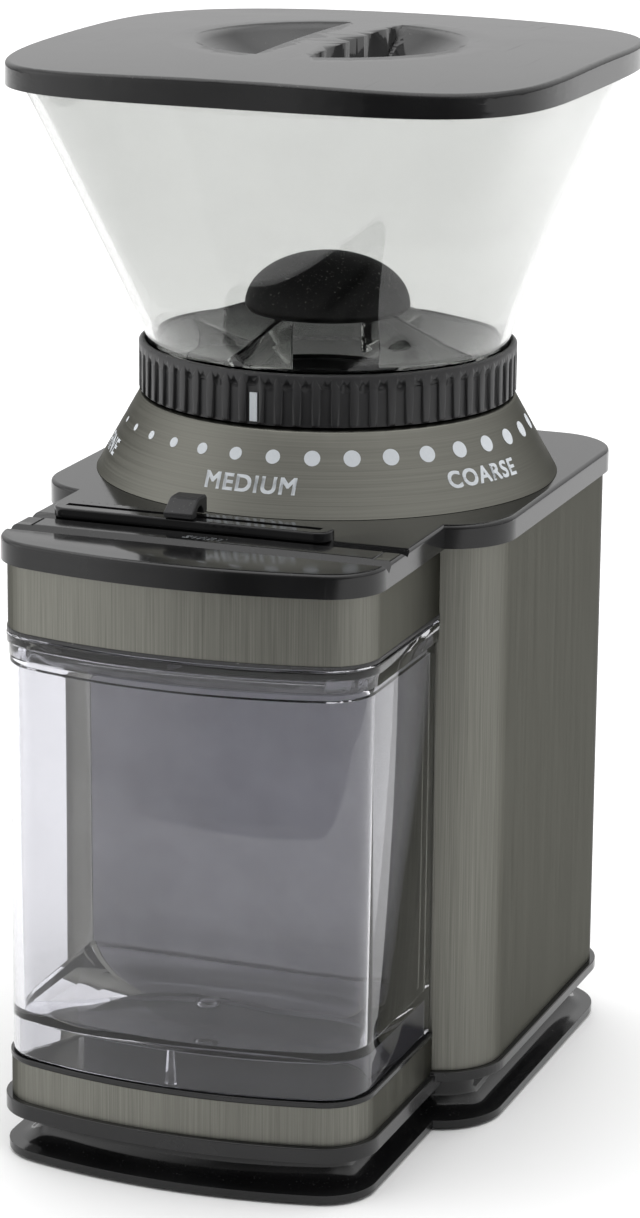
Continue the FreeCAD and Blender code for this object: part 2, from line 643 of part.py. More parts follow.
# ---- burrs ----
def radial_teeth(count, inner, outer, z0, z1, width, skew):
    cutters = []
    for index in range(count):
        tooth = box(inner, outer, -width / 2.0, width / 2.0, z0, z1)
        tooth.rotate(FreeCAD.Vector(inner, 0, 0), UP, skew)
        cutters.append(around(tooth, 360.0 * index / count))
    return cutters


def lower_burr():
    top = LOWER_BURR_BOTTOM + BURR_THICK
    ring = tube(0, 0, LOWER_BURR_BOTTOM, top, BURR_RADIUS, 8.0)
    bowl = turned([(7.5, top + 1), (18.0, top + 1), (18.0, top), (12.0, top - 1.6), (7.5, top - 2.4)])
    fine = radial_teeth(36, 14.0, 24.0, top - 0.7, top + 1, 1.0, 18)
    coarse = radial_teeth(12, 7.0, 17.0, top - 3.6, top + 1, 1.6, 22)
    return less(ring, [bowl] + fine + coarse)


def upper_burr():
    low = LOWER_BURR_BOTTOM + BURR_THICK + BURR_GAP
    ring = tube(0, 0, low, low + BURR_THICK, BURR_RADIUS, 9.5)
    bowl = turned([(9.0, low - 1), (18.0, low - 1), (18.0, low), (12.0, low + 1.6), (9.0, low + 2.4)])
    fine = radial_teeth(36, 14.0, 24.0, low - 1, low + 0.7, 1.0, 18)
    coarse = radial_teeth(12, 9.0, 17.0, low - 1, low + 3.2, 1.6, 22)
    return less(ring, [bowl] + fine + coarse)


def upper_burr_carrier():
    seat = LOWER_BURR_BOTTOM + BURR_THICK + BURR_GAP + BURR_THICK + 0.1
    low = seat - 4.0
    profile = [(CARRIER_RADIUS, low), (CARRIER_RADIUS, 179.6), (BURR_RADIUS - 1, 179.6)]
    profile += [(9.6, seat + 0.1), (9.6, seat)]
    profile += [(BURR_RADIUS + 0.1, seat), (BURR_RADIUS + 0.1, low)]
    body = turned(profile)
    lugs = []
    for angle in (0, 120, 240):
        block = box(CARRIER_RADIUS - 1.4, CARRIER_RADIUS + 1, -4, 4, 172, 176)
        reach = cylinder(0, 0, 171, 177, CARRIER_RADIUS + 0.2)
        lugs.append(around(block.common(reach), angle))
    keyways = []
    for angle in KEY_ANGLES:
        slot = box(KEY_TIP - SEAT, RING_INNER + 0.6, -KEY_HALF - SEAT, KEY_HALF + SEAT, low - 1, 181)
        keyways.append(around(slot, angle))
    return joined([body] + lugs).cut(Part.makeCompound(keyways))


def burr_carrier():
    hub = cylinder(0, 0, 141.6, LOWER_BURR_BOTTOM, 7.5)
    disc = cylinder(0, 0, LOWER_BURR_BOTTOM - 2.5, LOWER_BURR_BOTTOM, BURR_RADIUS + 1.5)
    vanes = [around(box(6, VANE_REACH, -1.5, 1.5, 141.6, 151.0), 90 * index) for index in range(4)]
    return joined([hub, disc] + vanes).cut(cylinder(0, 0, 130, 170, SHAFT_RADIUS))


def hexagon(across, z0, z1):
    radius = across / math.sqrt(3.0)
    corners = []
    for index in range(7):
        angle = math.pi * index / 3.0
        corners.append(FreeCAD.Vector(radius * math.cos(angle), radius * math.sin(angle), z0))
    return Part.Face(Part.makePolygon(corners)).extrude(FreeCAD.Vector(0, 0, z1 - z0))


def burr_nut():
    washer = cylinder(0, 0, LOWER_BURR_BOTTOM, LOWER_BURR_BOTTOM + 0.8, 7.6)
    nut = hexagon(10.0, LOWER_BURR_BOTTOM + 0.8, LOWER_BURR_BOTTOM + 4.8)
    return joined([washer, nut]).cut(cylinder(0, 0, 150, 170, SHAFT_RADIUS))


# ---- hopper ----
def adjust_ring():
    flange = COLLAR_RADIUS - COLLAR_WALL - 0.2
    profile = [(RING_INNER, 166), (RING_INNER, 183.4), (flange, 183.4)]
    profile += [(flange, 181.4), (RING_OUTER, 181.4), (RING_OUTER, 166)]
    body = turned(profile)
    root = RING_INNER + 0.8
    keys = [around(box(KEY_TIP, root, -KEY_HALF, KEY_HALF, 168, 179), angle) for angle in KEY_ANGLES]
    return joined([body] + keys)


def hopper_collar():
    inner = COLLAR_RADIUS - COLLAR_WALL
    rim = turned([(inner, COLLAR_BOTTOM), (COLLAR_RADIUS - 0.8, COLLAR_BOTTOM), (COLLAR_RADIUS, COLLAR_BOTTOM + 0.8),
                  (COLLAR_RADIUS, COLLAR_TOP - 0.6), (COLLAR_RADIUS - 0.6, COLLAR_TOP), (inner, COLLAR_TOP)])
    shelf = tube(0, 0, 183.6, 184.8, inner + 0.2, 45.0)
    body = joined([rim, shelf])
    cuts = []
    for index in range(COLLAR_RIBS):
        angle = 360.0 * (index + 0.5) / COLLAR_RIBS
        slot = box(COLLAR_RADIUS - 0.75, COLLAR_RADIUS + 2, -1.35, 1.35, COLLAR_BOTTOM - 1, COLLAR_TOP - 3.6)
        top = Part.makeCylinder(1.35, 2.75, FreeCAD.Vector(COLLAR_RADIUS - 0.75, 0, COLLAR_TOP - 3.6),
                                FreeCAD.Vector(1, 0, 0))
        cuts.append(around(slot.fuse(top), angle))
    pocket = box(COLLAR_RADIUS - 0.7, COLLAR_RADIUS + 2, -1.5, 1.5, COLLAR_BOTTOM + 0.5, COLLAR_TOP - 1.2)
    cuts.append(around(pocket, INDEX_ANGLE))
    return less(body, cuts)


def index_mark():
    """The white pointer line let into the collar, which reads against the dots."""
    line = box(COLLAR_RADIUS - 0.6, COLLAR_RADIUS - 0.05, -1.0, 1.0, COLLAR_BOTTOM + 0.9, COLLAR_BOTTOM + 8.2)
    return around(line, INDEX_ANGLE)


def leg(angle):
    """A radial leg of the hopper floor, rising under the dome to carry it."""
    inner_top = DOME_WIDEST + (DOME_TOP - DOME_WIDEST - 2.0) * math.sqrt(1 - (17.2 / (DOME_RADIUS - 2.0)) ** 2) - SEAT
    corners = [(15.2, 187.0), (15.2, inner_top), (17.2, inner_top), (17.2, DOME_BOTTOM - 0.6)]
    corners += [(27.0, DOME_BOTTOM - 0.6), (42.5, 196.6), (42.5, 193.0), (24, 187.2)]
    points = [FreeCAD.Vector(r, -1.1, z) for r, z in corners]
    points.append(points[0])
    plate = Part.Face(Part.makePolygon(points)).extrude(FreeCAD.Vector(0, 2.2, 0))
    return around(plate, angle)


def hopper():
    wall = HOPPER_WALL
    outer = flared_tub(HOPPER_FOOT_RADIUS, HOPPER_LIP_HALF, 185.0, HOPPER_TOP)
    inner = flared_tub(HOPPER_FOOT_RADIUS - wall, HOPPER_LIP_HALF - wall, 184.0, HOPPER_TOP + 1)
    body = outer.cut(inner)
    throat = THROAT_RADIUS
    reach = HOPPER_FOOT_RADIUS - wall + 1.0
    funnel = turned([(reach, 192.6), (reach, 194.6), (throat + 2.6, 188.0), (throat, 187.4), (throat, 182.6),
                     (throat + 2, 182.6), (throat + 2, 186.0)])
    legs = [leg(LEG_ANGLE + 90 * index) for index in range(4)]
    return joined([body, funnel] + legs)


def bean_dome():
    steps = 10
    outer = [(0, DOME_TOP)]
    inner = [(0, DOME_TOP - 2.0)]
    for index in range(1, steps + 1):
        turn = math.pi / 2 * index / steps
        rise = DOME_TOP - DOME_WIDEST
        outer.append((DOME_RADIUS * math.sin(turn), DOME_WIDEST + rise * math.cos(turn)))
        inner.append(((DOME_RADIUS - 2) * math.sin(turn), DOME_WIDEST + (rise - 2) * math.cos(turn)))
    crown = curve_profile(outer)
    under = curve_profile(inner)
    low_outer = FreeCAD.Vector(DOME_RADIUS - 1.0, 0, DOME_BOTTOM)
    low_inner = FreeCAD.Vector(DOME_RADIUS - 2.4, 0, DOME_BOTTOM)
    side = Part.makeLine(FreeCAD.Vector(DOME_RADIUS, 0, DOME_WIDEST), low_outer)
    rim = Part.makeLine(low_outer, low_inner)
    inside = Part.makeLine(low_inner, FreeCAD.Vector(DOME_RADIUS - 2, 0, DOME_WIDEST))
    axis = Part.makeLine(FreeCAD.Vector(0, 0, DOME_TOP - 2.0), FreeCAD.Vector(0, 0, DOME_TOP))
    wire = Part.Wire(Part.__sortEdges__([crown, side, rim, inside, under, axis]))
    return Part.Face(wire).revolve(ORIGIN, UP, 360)


def curve_profile(places):
    curve = Part.BSplineCurve()
    curve.interpolate([FreeCAD.Vector(r, 0, z) for r, z in places])
    return curve.toShape()


def hopper_lid():
    rise = LID_TOP - LID_RIM
    crown_radius = (LID_HALF ** 2 + rise ** 2) / (2 * rise)
    crown = Part.makeSphere(crown_radius, FreeCAD.Vector(0, 0, LID_TOP - crown_radius))
    block = square_block(LID_HALF, LID_SQUARE, LID_BOTTOM, LID_TOP + 1)
    body = block.common(crown)
    body = rounded(body, 1.3, lambda e: e.BoundBox.ZMax > LID_RIM - 3 and e.BoundBox.ZMin > LID_BOTTOM + 1)
    hollow = square_block(LID_HALF - LID_WALL, LID_SQUARE, LID_BOTTOM - 1, HOPPER_TOP + SEAT)
    body = body.cut(hollow)
    bowl_radius = (RECESS_RADIUS ** 2 + RECESS_DEPTH ** 2) / (2 * RECESS_DEPTH)
    bowl_centre = FreeCAD.Vector(0, 0, LID_TOP - RECESS_DEPTH + bowl_radius)
    bowl = Part.makeSphere(bowl_radius, bowl_centre)
    pan = Part.makeSphere(bowl_radius + LID_WALL, bowl_centre).common(cylinder(0, 0, 240, LID_TOP - 1.5, 60))
    half_bar = RECESS_BAR / 2.0
    bar = box(-half_bar, half_bar, -60, 60, 240, LID_TOP + 5)
    scoops = bowl.cut(bar)
    bar_hollow = box(LID_WALL - half_bar, half_bar - LID_WALL, -28, 28, 240, LID_TOP - LID_WALL)
    return joined([body, pan]).cut(scoops).cut(bar_hollow)


# ---- grounds chamber ----
def grounds_chamber():
    low = BAY_FLOOR + SEAT
    outer = head_block(-CHAMBER_INSET, low, CHAMBER_SHOULDER, CHAMBER_BACK)
    wall = CHAMBER_WALL
    inner = -CHAMBER_INSET - wall
    neck = head_block(-2.3, CHAMBER_SHOULDER - 1, CHAMBER_NECK, CHAMBER_BACK + 1.7)
    inside = head_block(inner, CHAMBER_FLOOR + CHAMBER_FLOOR_THICK, CHAMBER_SHOULDER - 2.5, CHAMBER_BACK + wall)
    mouth = head_block(-4.3, 100, CHAMBER_NECK + 1, CHAMBER_BACK + 3.7)
    under = head_block(inner, low - 1, CHAMBER_FLOOR, CHAMBER_BACK + wall)
    body = joined([outer, neck])
    body = less(body, [inside, mouth, under])
    front = -HEAD_FRONT - HEAD_BOW + CHAMBER_INSET
    tab = box(-1.0, 1.0, front - 0.5, front + 2.0, low, CHAMBER_FLOOR + 1)
    return joined([body, tab])


def chamber_lid():
    flange = head_block(0.35, CHAMBER_LID_STEP, CHAMBER_LID_TOP, CHAMBER_BACK - 0.2)
    flange = rounded(flange, 0.5, lambda e: e.BoundBox.ZMin > CHAMBER_LID_TOP - 0.01)
    skirt = head_block(-0.1, CHAMBER_SHOULDER + SEAT, CHAMBER_LID_STEP + 0.5, CHAMBER_BACK - 0.2)
    well = head_block(-2.1, CHAMBER_SHOULDER - 1, CHAMBER_LID_STEP, CHAMBER_BACK + 1.5)
    body = joined([flange, skirt]).cut(well)
    mouth = rounded(box(-CHUTE_HALF, CHUTE_HALF, -CHUTE_END + 1.5, -CHUTE_MOUTH, 125, 140), 3, upright)
    return body.cut(mouth)


# ---- motor ----
def motor_lower_frame():
    z0, z1 = FRAME_PLATE, FRAME_PLATE + FRAME_PLATE_THICK
    bars = [box(-52, 52, y - 9, y + 9, z0, z1) for y in (-30, 42)]
    spine = box(-17, 17, -38, 50, z0, z1)
    boss = cylinder(0, 0, z0, 42, BEARING_RADIUS + 3)
    sides = [box(side * UPRIGHT_X - 4, side * UPRIGHT_X + 4, -6, 6, z0, STACK_BOTTOM) for side in (-1, 1)]
    beam = box(-UPRIGHT_X, UPRIGHT_X, -6, 6, z0, z1)
    shelves = [box(-4.5, 4.5, 24, 30, z0, 46), box(-4.5, 4.5, -30, -24, z0, 46)]
    body = joined(bars + [spine, boss, beam] + sides + shelves)
    cuts = [cylinder(0, 0, 33.4, 50, BEARING_RADIUS), cylinder(0, 0, 20, 50, 6)]
    cuts += [cylinder(x, y, 20, 50, 5.2) for x, y in BUSH_PLACES]
    cuts += [cylinder(side * UPRIGHT_X, 0, 20, 70, 2.2) for side in (-1, 1)]
    return less(body, cuts)


def motor_upper_frame():
    plate = rounded(box(-40, 40, -15, 15, UPPER_FRAME, UPPER_FRAME + 3), 5, upright)
    boss = cylinder(0, 0, UPPER_FRAME, 121, BEARING_RADIUS + 3)
    legs = [box(side * UPRIGHT_X - 4, side * UPRIGHT_X + 4, -6, 6, STACK_TOP, UPPER_FRAME + 1) for side in (-1, 1)]
    body = joined([plate, boss] + legs)
    cuts = [cylinder(0, 0, 113.8, 130, BEARING_RADIUS), cylinder(0, 0, 100, 130, 6)]
    cuts += [cylinder(side * UPRIGHT_X, 0, 90, 130, 2.2) for side in (-1, 1)]
    return less(body, cuts)


def ball_bearing(z0, z1):
    ring = tube(0, 0, z0, z1, BEARING_RADIUS - 0.02, 8.6)
    hub = tube(0, 0, z0, z1, 6.4, SHAFT_RADIUS + 0.02)
    web = tube(0, 0, z0 + 1.2, z1 - 1.2, 8.8, 6.2)
    return joined([ring, hub, web])


def stator_stack():
    block = box(-STATOR_HALF_X, STATOR_HALF_X, -STATOR_HALF_Y, STATOR_HALF_Y, STACK_BOTTOM, STACK_TOP)
    block = rounded(block, 9, upright)
    cuts = [cylinder(0, 0, 50, 120, ARMATURE_RADIUS + AIR_GAP)]
    cuts += [box(17, 28.4, -15.4, 15.4, 50, 120), box(-28.4, -17, -15.4, 15.4, 50, 120)]
    cuts += [cylinder(side * UPRIGHT_X, 0, 50, 120, 2.2) for side in (-1, 1)]
    return less(block, cuts)


def field_coils():
    coils = []
    for side in (-1, 1):
        y0, y1 = sorted((side * 1.0, side * 15.0))
        legs = [box(21.0, 28.0, y0, y1, STACK_BOTTOM - 5, STACK_TOP + 5)]
        legs.append(box(-28.0, -21.0, y0, y1, STACK_BOTTOM - 5, STACK_TOP + 5))
        t0, t1 = sorted((side * 1.0, side * 29.0))
        e0, e1 = sorted((side * 21.0, side * 29.0))
        for z0, z1 in ((STACK_BOTTOM - 6, STACK_BOTTOM - 0.4), (STACK_TOP + 0.4, STACK_TOP + 6)):
            legs.append(box(-28.0, 28.0, e0, e1, z0, z1))
            legs.append(box(21.0, 28.0, t0, t1, z0, z1))
            legs.append(box(-28.0, -21.0, t0, t1, z0, z1))
        coils.append(joined(legs))
    return Part.makeCompound(coils)


def motor_bolts():
    bolts = []
    for side in (-1, 1):
        x = side * UPRIGHT_X
        shank = cylinder(x, 0, 28.5, 117.5, 2.0)
        head = cylinder(x, 0, UPPER_FRAME + 3.1, UPPER_FRAME + 5.6, 3.8)
        nut = cylinder(x, 0, FRAME_PLATE - 3.1, FRAME_PLATE - 0.1, 3.8)
        bolts.append(joined([shank, head, nut]))
    return Part.makeCompound(bolts)


def rubber_bushes():
    bushes = []
    for x, y in BUSH_PLACES:
        low = cylinder(x, y, 28.1, FRAME_PLATE - 0.1, 8.0)
        neck = cylinder(x, y, 30, 36, 5.0)
        high = cylinder(x, y, FRAME_PLATE + FRAME_PLATE_THICK + 0.1, 38.0, 8.0)
        bushes.append(joined([low, neck, high]).cut(cylinder(x, y, 20, 45, 2.4)))
    return Part.makeCompound(bushes)


def mount_screws():
    screws = []
    for x, y in BUSH_PLACES:
        screws.append(joined([cylinder(x, y, 38.1, 40.6, 4.2), cylinder(x, y, 19, 39, 1.95)]))
    return Part.makeCompound(screws)


def brush_holders():
    holders = []
    for side in (-1, 1):
        y0, y1 = sorted((side * 12.6, side * 30.0))
        c0, c1 = sorted((side * 12.0, side * 28.8))
        body = box(-4.4, 4.4, y0, y1, 46.1, 54.9)
        holders.append(body.cut(box(-2.8, 2.8, c0, c1, 47.7, 53.3)))
    return Part.makeCompound(holders)


def carbon_brushes():
    brushes = []
    for side in (-1, 1):
        y0, y1 = sorted((side * 11.1, side * 20.5))
        brushes.append(box(-2.6, 2.6, y0, y1, 47.9, 53.1))
    return Part.makeCompound(brushes)


def brush_springs():
    springs = []
    for side in (-1, 1):
        coil = helix_spring(0, 0, 0, 8.0, 1.9, 0.25, 5)
        coil.rotate(ORIGIN, FreeCAD.Vector(1, 0, 0), -90 * side)
        coil.translate(FreeCAD.Vector(0, side * 20.65, 50.5))
        springs.append(coil)
    return Part.makeCompound(springs)


def motor_shaft():
    return cylinder(0, 0, 30, LOWER_BURR_BOTTOM + 5.6, SHAFT_RADIUS - 0.02)


def armature_stack():
    stack = tube(0, 0, STACK_BOTTOM + 2, STACK_TOP - 2, ARMATURE_RADIUS, SHAFT_RADIUS)
    slots = [around(box(ARMATURE_RADIUS - 7, ARMATURE_RADIUS + 2, -1.1, 1.1, 50, 120), 30 * i) for i in range(12)]
    return less(stack, slots)


def armature_winding():
    turns = []
    for z0, z1 in ((STACK_BOTTOM - 3.8, STACK_BOTTOM + 1.9), (STACK_TOP - 1.9, STACK_TOP + 4.5)):
        ring = tube(0, 0, z0, z1, 17.2, SHAFT_RADIUS + 0.6)
        turns.append(rounded(ring, 1.6, lambda e: e.BoundBox.XLength > 30))
    return Part.makeCompound(turns)


def commutator():
    drum = tube(0, 0, 44, 57.5, BEARING_RADIUS - 0.05, SHAFT_RADIUS)
    slots = [around(box(9.4, 13, -0.3, 0.3, 45, 60), 15 * index) for index in range(24)]
    return less(drum, slots)


def cooling_fan():
    disc = cylinder(0, 0, 124, 125.6, 34)
    hub = cylinder(0, 0, 124, 132, 7)
    blades = [around(box(12, 33, -0.7, 0.7, 125, 133), 36 * index) for index in range(10)]
    return joined([disc, hub] + blades).cut(cylinder(0, 0, 100, 150, SHAFT_RADIUS))


PIECES = {
    "foot_plate": foot_plate,
    "rubber_feet": rubber_feet,
    "base_tray": base_tray,
    "base_screws": base_screws,
    "base_band": lambda: front_skin(HEAD_SKIRT_TOP + 0.05, BAND_TOP),
    "column_shell": column_shell,
    "steel_wrap": steel_wrap,
    "cord_gland": cord_gland,
    "head_shell": head_shell,
    "head_panel": lambda: front_skin(HEAD_BOTTOM + 0.95, COVER_BOTTOM - 0.05),
    "head_screws": head_screws,
    "top_cover": top_cover,
    "selector_rail": selector_rail,
    "cup_knob": cup_knob,
    "pot_lever": pot_lever,
    "slide_potentiometer": slide_potentiometer,
    "start_bar": start_bar,
    "start_springs": start_springs,
    "start_switch": start_switch,
    "timer_board": timer_board,
    "board_screws": board_screws,
    "dial_cone": dial_cone,
    "burr_housing": burr_housing,
    "housing_screws": housing_screws,
    "detent_ball": detent_ball,
    "detent_spring": detent_spring,
    "shaft_seal": shaft_seal,
    "hopper_switch": hopper_switch,
    "chamber_switch": chamber_switch,
    "lower_burr": lower_burr,
    "burr_carrier": burr_carrier,
    "burr_nut": burr_nut,
    "upper_burr": upper_burr,
    "upper_burr_carrier": upper_burr_carrier,
    "adjust_ring": adjust_ring,
    "hopper_collar": hopper_collar,
    "index_mark": index_mark,
    "hopper": hopper,
    "bean_dome": bean_dome,
    "hopper_lid": hopper_lid,
    "grounds_chamber": grounds_chamber,
    "chamber_lid": chamber_lid,
    "motor_lower_frame": motor_lower_frame,
    "motor_upper_frame": motor_upper_frame,
    "lower_bearing": lambda: ball_bearing(33.6, 40.6),
    "upper_bearing": lambda: ball_bearing(114.0, 121.0),
    "stator_stack": stator_stack,
    "field_coils": field_coils,
    "motor_bolts": motor_bolts,
    "rubber_bushes": rubber_bushes,
    "mount_screws": mount_screws,
    "brush_holders": brush_holders,
    "carbon_brushes": carbon_brushes,
    "brush_springs": brush_springs,
    "motor_shaft": motor_shaft,
    "armature_stack": armature_stack,
    "armature_winding": armature_winding,
    "commutator": commutator,
    "cooling_fan": cooling_fan,
}


def main():
    os.makedirs("parts", exist_ok=True)
    for name, make in PIECES.items():
        write(name, make())
    print("wrote", len(PIECES), "nodes")


main()
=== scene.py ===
import bmesh
import bpy
import json
import math
from mathutils import Matrix, Vector


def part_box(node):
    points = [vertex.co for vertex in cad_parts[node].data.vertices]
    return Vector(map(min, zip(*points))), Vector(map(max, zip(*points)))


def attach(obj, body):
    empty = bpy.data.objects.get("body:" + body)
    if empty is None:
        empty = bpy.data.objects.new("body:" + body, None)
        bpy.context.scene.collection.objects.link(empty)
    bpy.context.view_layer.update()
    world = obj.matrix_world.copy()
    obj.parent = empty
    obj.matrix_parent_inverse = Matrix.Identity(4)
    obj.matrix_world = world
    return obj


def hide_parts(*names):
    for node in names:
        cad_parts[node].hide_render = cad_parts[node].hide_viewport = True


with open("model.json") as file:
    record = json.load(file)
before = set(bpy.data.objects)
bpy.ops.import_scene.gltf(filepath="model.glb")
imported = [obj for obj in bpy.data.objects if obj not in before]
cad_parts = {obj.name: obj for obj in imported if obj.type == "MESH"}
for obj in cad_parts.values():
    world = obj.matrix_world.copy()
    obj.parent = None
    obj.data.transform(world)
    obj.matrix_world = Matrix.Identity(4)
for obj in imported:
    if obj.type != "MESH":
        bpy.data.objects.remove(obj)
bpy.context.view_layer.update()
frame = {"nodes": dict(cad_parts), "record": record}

bl_info = {
    "name": "Burr grinder finish",
    "version": (1, 0, 0),
    "blender": (4, 5, 0),
    "location": "View3D > Sidebar > Grinder",
    "description": "Adds the visible pieces, finishes and studio of a burr coffee grinder to its CAD frame",
    "category": "Object",
}

MM = 0.001
FLAT_ANGLE = math.radians(0.03)     # faces closer than this lie in one plane


# ---------------------------------------------------------------------------
# places taken from the frame
# ---------------------------------------------------------------------------
def box_of(node):
    low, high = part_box(node)
    return Vector(low), Vector(high)


CONE_LOW, CONE_HIGH = box_of("dial_cone")
CHAMBER_LOW, CHAMBER_HIGH = box_of("grounds_chamber")
START_LOW, START_HIGH = box_of("start_bar")
HOPPER_LOW, HOPPER_HIGH = box_of("hopper")
DECK = box_of("top_cover")[1].z
DOME_BASE = box_of("bean_dome")[0].z
AXIS_Y = (CONE_LOW.y + CONE_HIGH.y) / 2
AXIS = Vector((0, AXIS_Y, 0))
CONE_TOP_RADIUS = 48.65 * MM

HOPPER_FOOT = 47.2 * MM             # radius of the hopper's round stem
HOPPER_WALL = 2.2 * MM
STEM_BASE = 2.4 * MM                # above the bottom of the hopper
STEM_TOP = 13.0 * MM
LIP_DEPTH = 6.1 * MM                # upright band round the mouth
ROUND, ROUNDED_SQUARE = 2.0, 4.2    # exponents of the hopper's outlines
TUB_SEGMENTS = 176
FLARE_STEPS = 12
THROAT_RADIUS = 18.5 * MM
RIB_COUNT = 4
RIB_THICKNESS = 1.7 * MM
RIB_ANGLE = math.radians(-15)       # where the first rib under the dome stands

HEAD_BOW = 8.0 * MM                 # how far the front bows out at its middle
CHAMBER_CORNER = 12.8 * MM
CHAMBER_WALL = 2.2 * MM
FLOOR_UNDERSIDE = CHAMBER_LOW.z + 9.4 * MM
FLOOR_TOP = CHAMBER_LOW.z + 11.8 * MM
CORNER_STEPS = 14
FRONT_STEPS = 24

INK = 0.05 * MM                     # thickness of the printed marks
WORDS = (("FINE", -152.0), ("MEDIUM", -90.0), ("COARSE", -24.3))    # and their angles in degrees
BOLD_CORNERS = ((1, -1), (-1, 1), (-1, -1))

FLOOR_HALF = Vector((3.0, 2.3, 1.0))
FLOOR_MIDDLE = Vector((0, 1.75, 0))
FRONT_LEFT = Vector((-0.80, -0.60, 0.02)).normalized()
SENSOR_WIDTH = 36.0                 # in millimetres, like the lens


# ---------------------------------------------------------------------------
# settings
# ---------------------------------------------------------------------------
class CasingSettings(bpy.types.PropertyGroup):
    steel_color: bpy.props.FloatVectorProperty(
        name="Steel colour", description="Tint of the brushed gunmetal skins", subtype="COLOR",
        size=3, min=0, max=1, default=(0.165, 0.164, 0.145))
    steel_roughness: bpy.props.FloatProperty(
        name="Steel roughness", description="How soft the reflections in the brushed skins are",
        default=0.34, min=0.05, max=1)
    black_color: bpy.props.FloatVectorProperty(
        name="Black plastic colour", description="Colour of the glossy cover, skirt and foot",
        subtype="COLOR", size=3, min=0, max=1, default=(0.006, 0.006, 0.0063))
    edge_radius: bpy.props.FloatProperty(
        name="Edge radius", description="Rounding given to the moulded and folded edges",
        default=0.35 * MM, min=0, max=2 * MM, unit="LENGTH")


class DialSettings(bpy.types.PropertyGroup):
    dot_count: bpy.props.IntProperty(
        name="Grind marks", description="How many dots run round the dial", default=18, min=2, max=40)
    dot_first_angle: bpy.props.FloatProperty(
        name="Finest mark", description="Angle of the finest dot, from the right-hand side",
        default=math.radians(-171.9), subtype="ANGLE")
    dot_step: bpy.props.FloatProperty(
        name="Mark spacing", description="Angle from one dot to the next", default=math.radians(10.9),
        subtype="ANGLE")
    dot_small: bpy.props.FloatProperty(
        name="Finest mark radius", description="Radius of the smallest dot", default=0.45 * MM,
        unit="LENGTH")
    dot_large: bpy.props.FloatProperty(
        name="Coarsest mark radius", description="Radius of the largest dot", default=2.15 * MM,
        unit="LENGTH")
    dot_height: bpy.props.FloatProperty(
        name="Mark height", description="Height of the row of dots above the cover's deck",
        default=13.9 * MM, unit="LENGTH")
    word_height: bpy.props.FloatProperty(
        name="Word height", description="Height of the capitals printed on the dial",
        default=4.3 * MM, unit="LENGTH")
    word_drop: bpy.props.FloatProperty(
        name="Word level", description="Height of the words' middle above the cover's deck",
        default=7.2 * MM, unit="LENGTH")
    ink_color: bpy.props.FloatVectorProperty(
        name="Ink colour", description="Colour of the printed marks", subtype="COLOR",
        size=3, min=0, max=1, default=(0.62, 0.66, 0.70))


class ClearSettings(bpy.types.PropertyGroup):
    hopper_tint: bpy.props.FloatVectorProperty(
        name="Hopper tint", description="Tint of the clear hopper", subtype="COLOR",
        size=3, min=0, max=1, default=(0.71, 0.717, 0.705))
    chamber_tint: bpy.props.FloatVectorProperty(
        name="Chamber tint", description="Tint of the smoky grounds chamber", subtype="COLOR",
        size=3, min=0, max=1, default=(0.84, 0.84, 0.87))


class StudioSettings(bpy.types.PropertyGroup):
    azimuth: bpy.props.FloatProperty(
        name="Azimuth", description="How far the camera stands round to the right",
        default=math.radians(20.296), subtype="ANGLE")
    elevation: bpy.props.FloatProperty(
        name="Elevation", description="How far the camera looks down", default=math.radians(15.039),
        subtype="ANGLE")
    roll: bpy.props.FloatProperty(
        name="Roll", description="Lean of the camera about its line of sight",
        default=math.radians(0.546), subtype="ANGLE")
    distance: bpy.props.FloatProperty(
        name="Distance", description="Camera to the middle of the object", default=1.1135,
        unit="LENGTH")
    lens: bpy.props.FloatProperty(name="Lens", description="Focal length in millimetres", default=124.88)
    aim_height: bpy.props.FloatProperty(
        name="Aim height", description="Height that the camera looks at", default=0.1214, unit="LENGTH")
    aim_side: bpy.props.FloatProperty(
        name="Aim side", description="Sideways offset of the aim", default=-0.00143, unit="LENGTH")


# ---------------------------------------------------------------------------
# shader node groups: each puts out only a value, mask, colour or normal
# ---------------------------------------------------------------------------
def new_group(name, inputs, outputs):
    group = bpy.data.node_groups.new(name, "ShaderNodeTree")
    for label, kind, default in inputs:
        socket = group.interface.new_socket(name=label, in_out="INPUT", socket_type=kind)
        if default is not None:
            socket.default_value = default
    for label, kind in outputs:
        group.interface.new_socket(name=label, in_out="OUTPUT", socket_type=kind)
    start = group.nodes.new("NodeGroupInput")
    end = group.nodes.new("NodeGroupOutput")
    return group, start, end


def node(tree, kind, **settings):
    made = tree.nodes.new(kind)
    for key, value in settings.items():
        setattr(made, key, value)
    return made


def math_node(tree, operation, first, second=None, third=None):
    made = node(tree, "ShaderNodeMath", operation=operation)
    for index, value in enumerate((first, second, third)):
        if value is None:
            continue
        if isinstance(value, (int, float)):
            made.inputs[index].default_value = value
        else:
            tree.links.new(value, made.inputs[index])
    return made.outputs[0]


def noise_node(tree, vector, scale, detail=2.0, roughness=0.5):
    made = node(tree, "ShaderNodeTexNoise")
    made.inputs["Detail"].default_value = detail
    made.inputs["Roughness"].default_value = roughness
    tree.links.new(vector, made.inputs["Vector"])
    if isinstance(scale, (int, float)):
        made.inputs["Scale"].default_value = scale
    else:
        tree.links.new(scale, made.inputs["Scale"])
    return made.outputs["Fac"]


def spread(tree, value, low, high, new_low, new_high):
    made = node(tree, "ShaderNodeMapRange")
    tree.links.new(value, made.inputs["Value"])
    for label, number in (("From Min", low), ("From Max", high), ("To Min", new_low), ("To Max", new_high)):
        made.inputs[label].default_value = number
    return made.outputs["Result"]


ACROSS_GRAIN, ALONG_GRAIN = 3200.0, 26.0        # noise cells in a metre of straight grain
UP_THE_CONE, ROUND_THE_CONE = 2600.0, 0.6       # the same up the turned grain, and in a radian round it


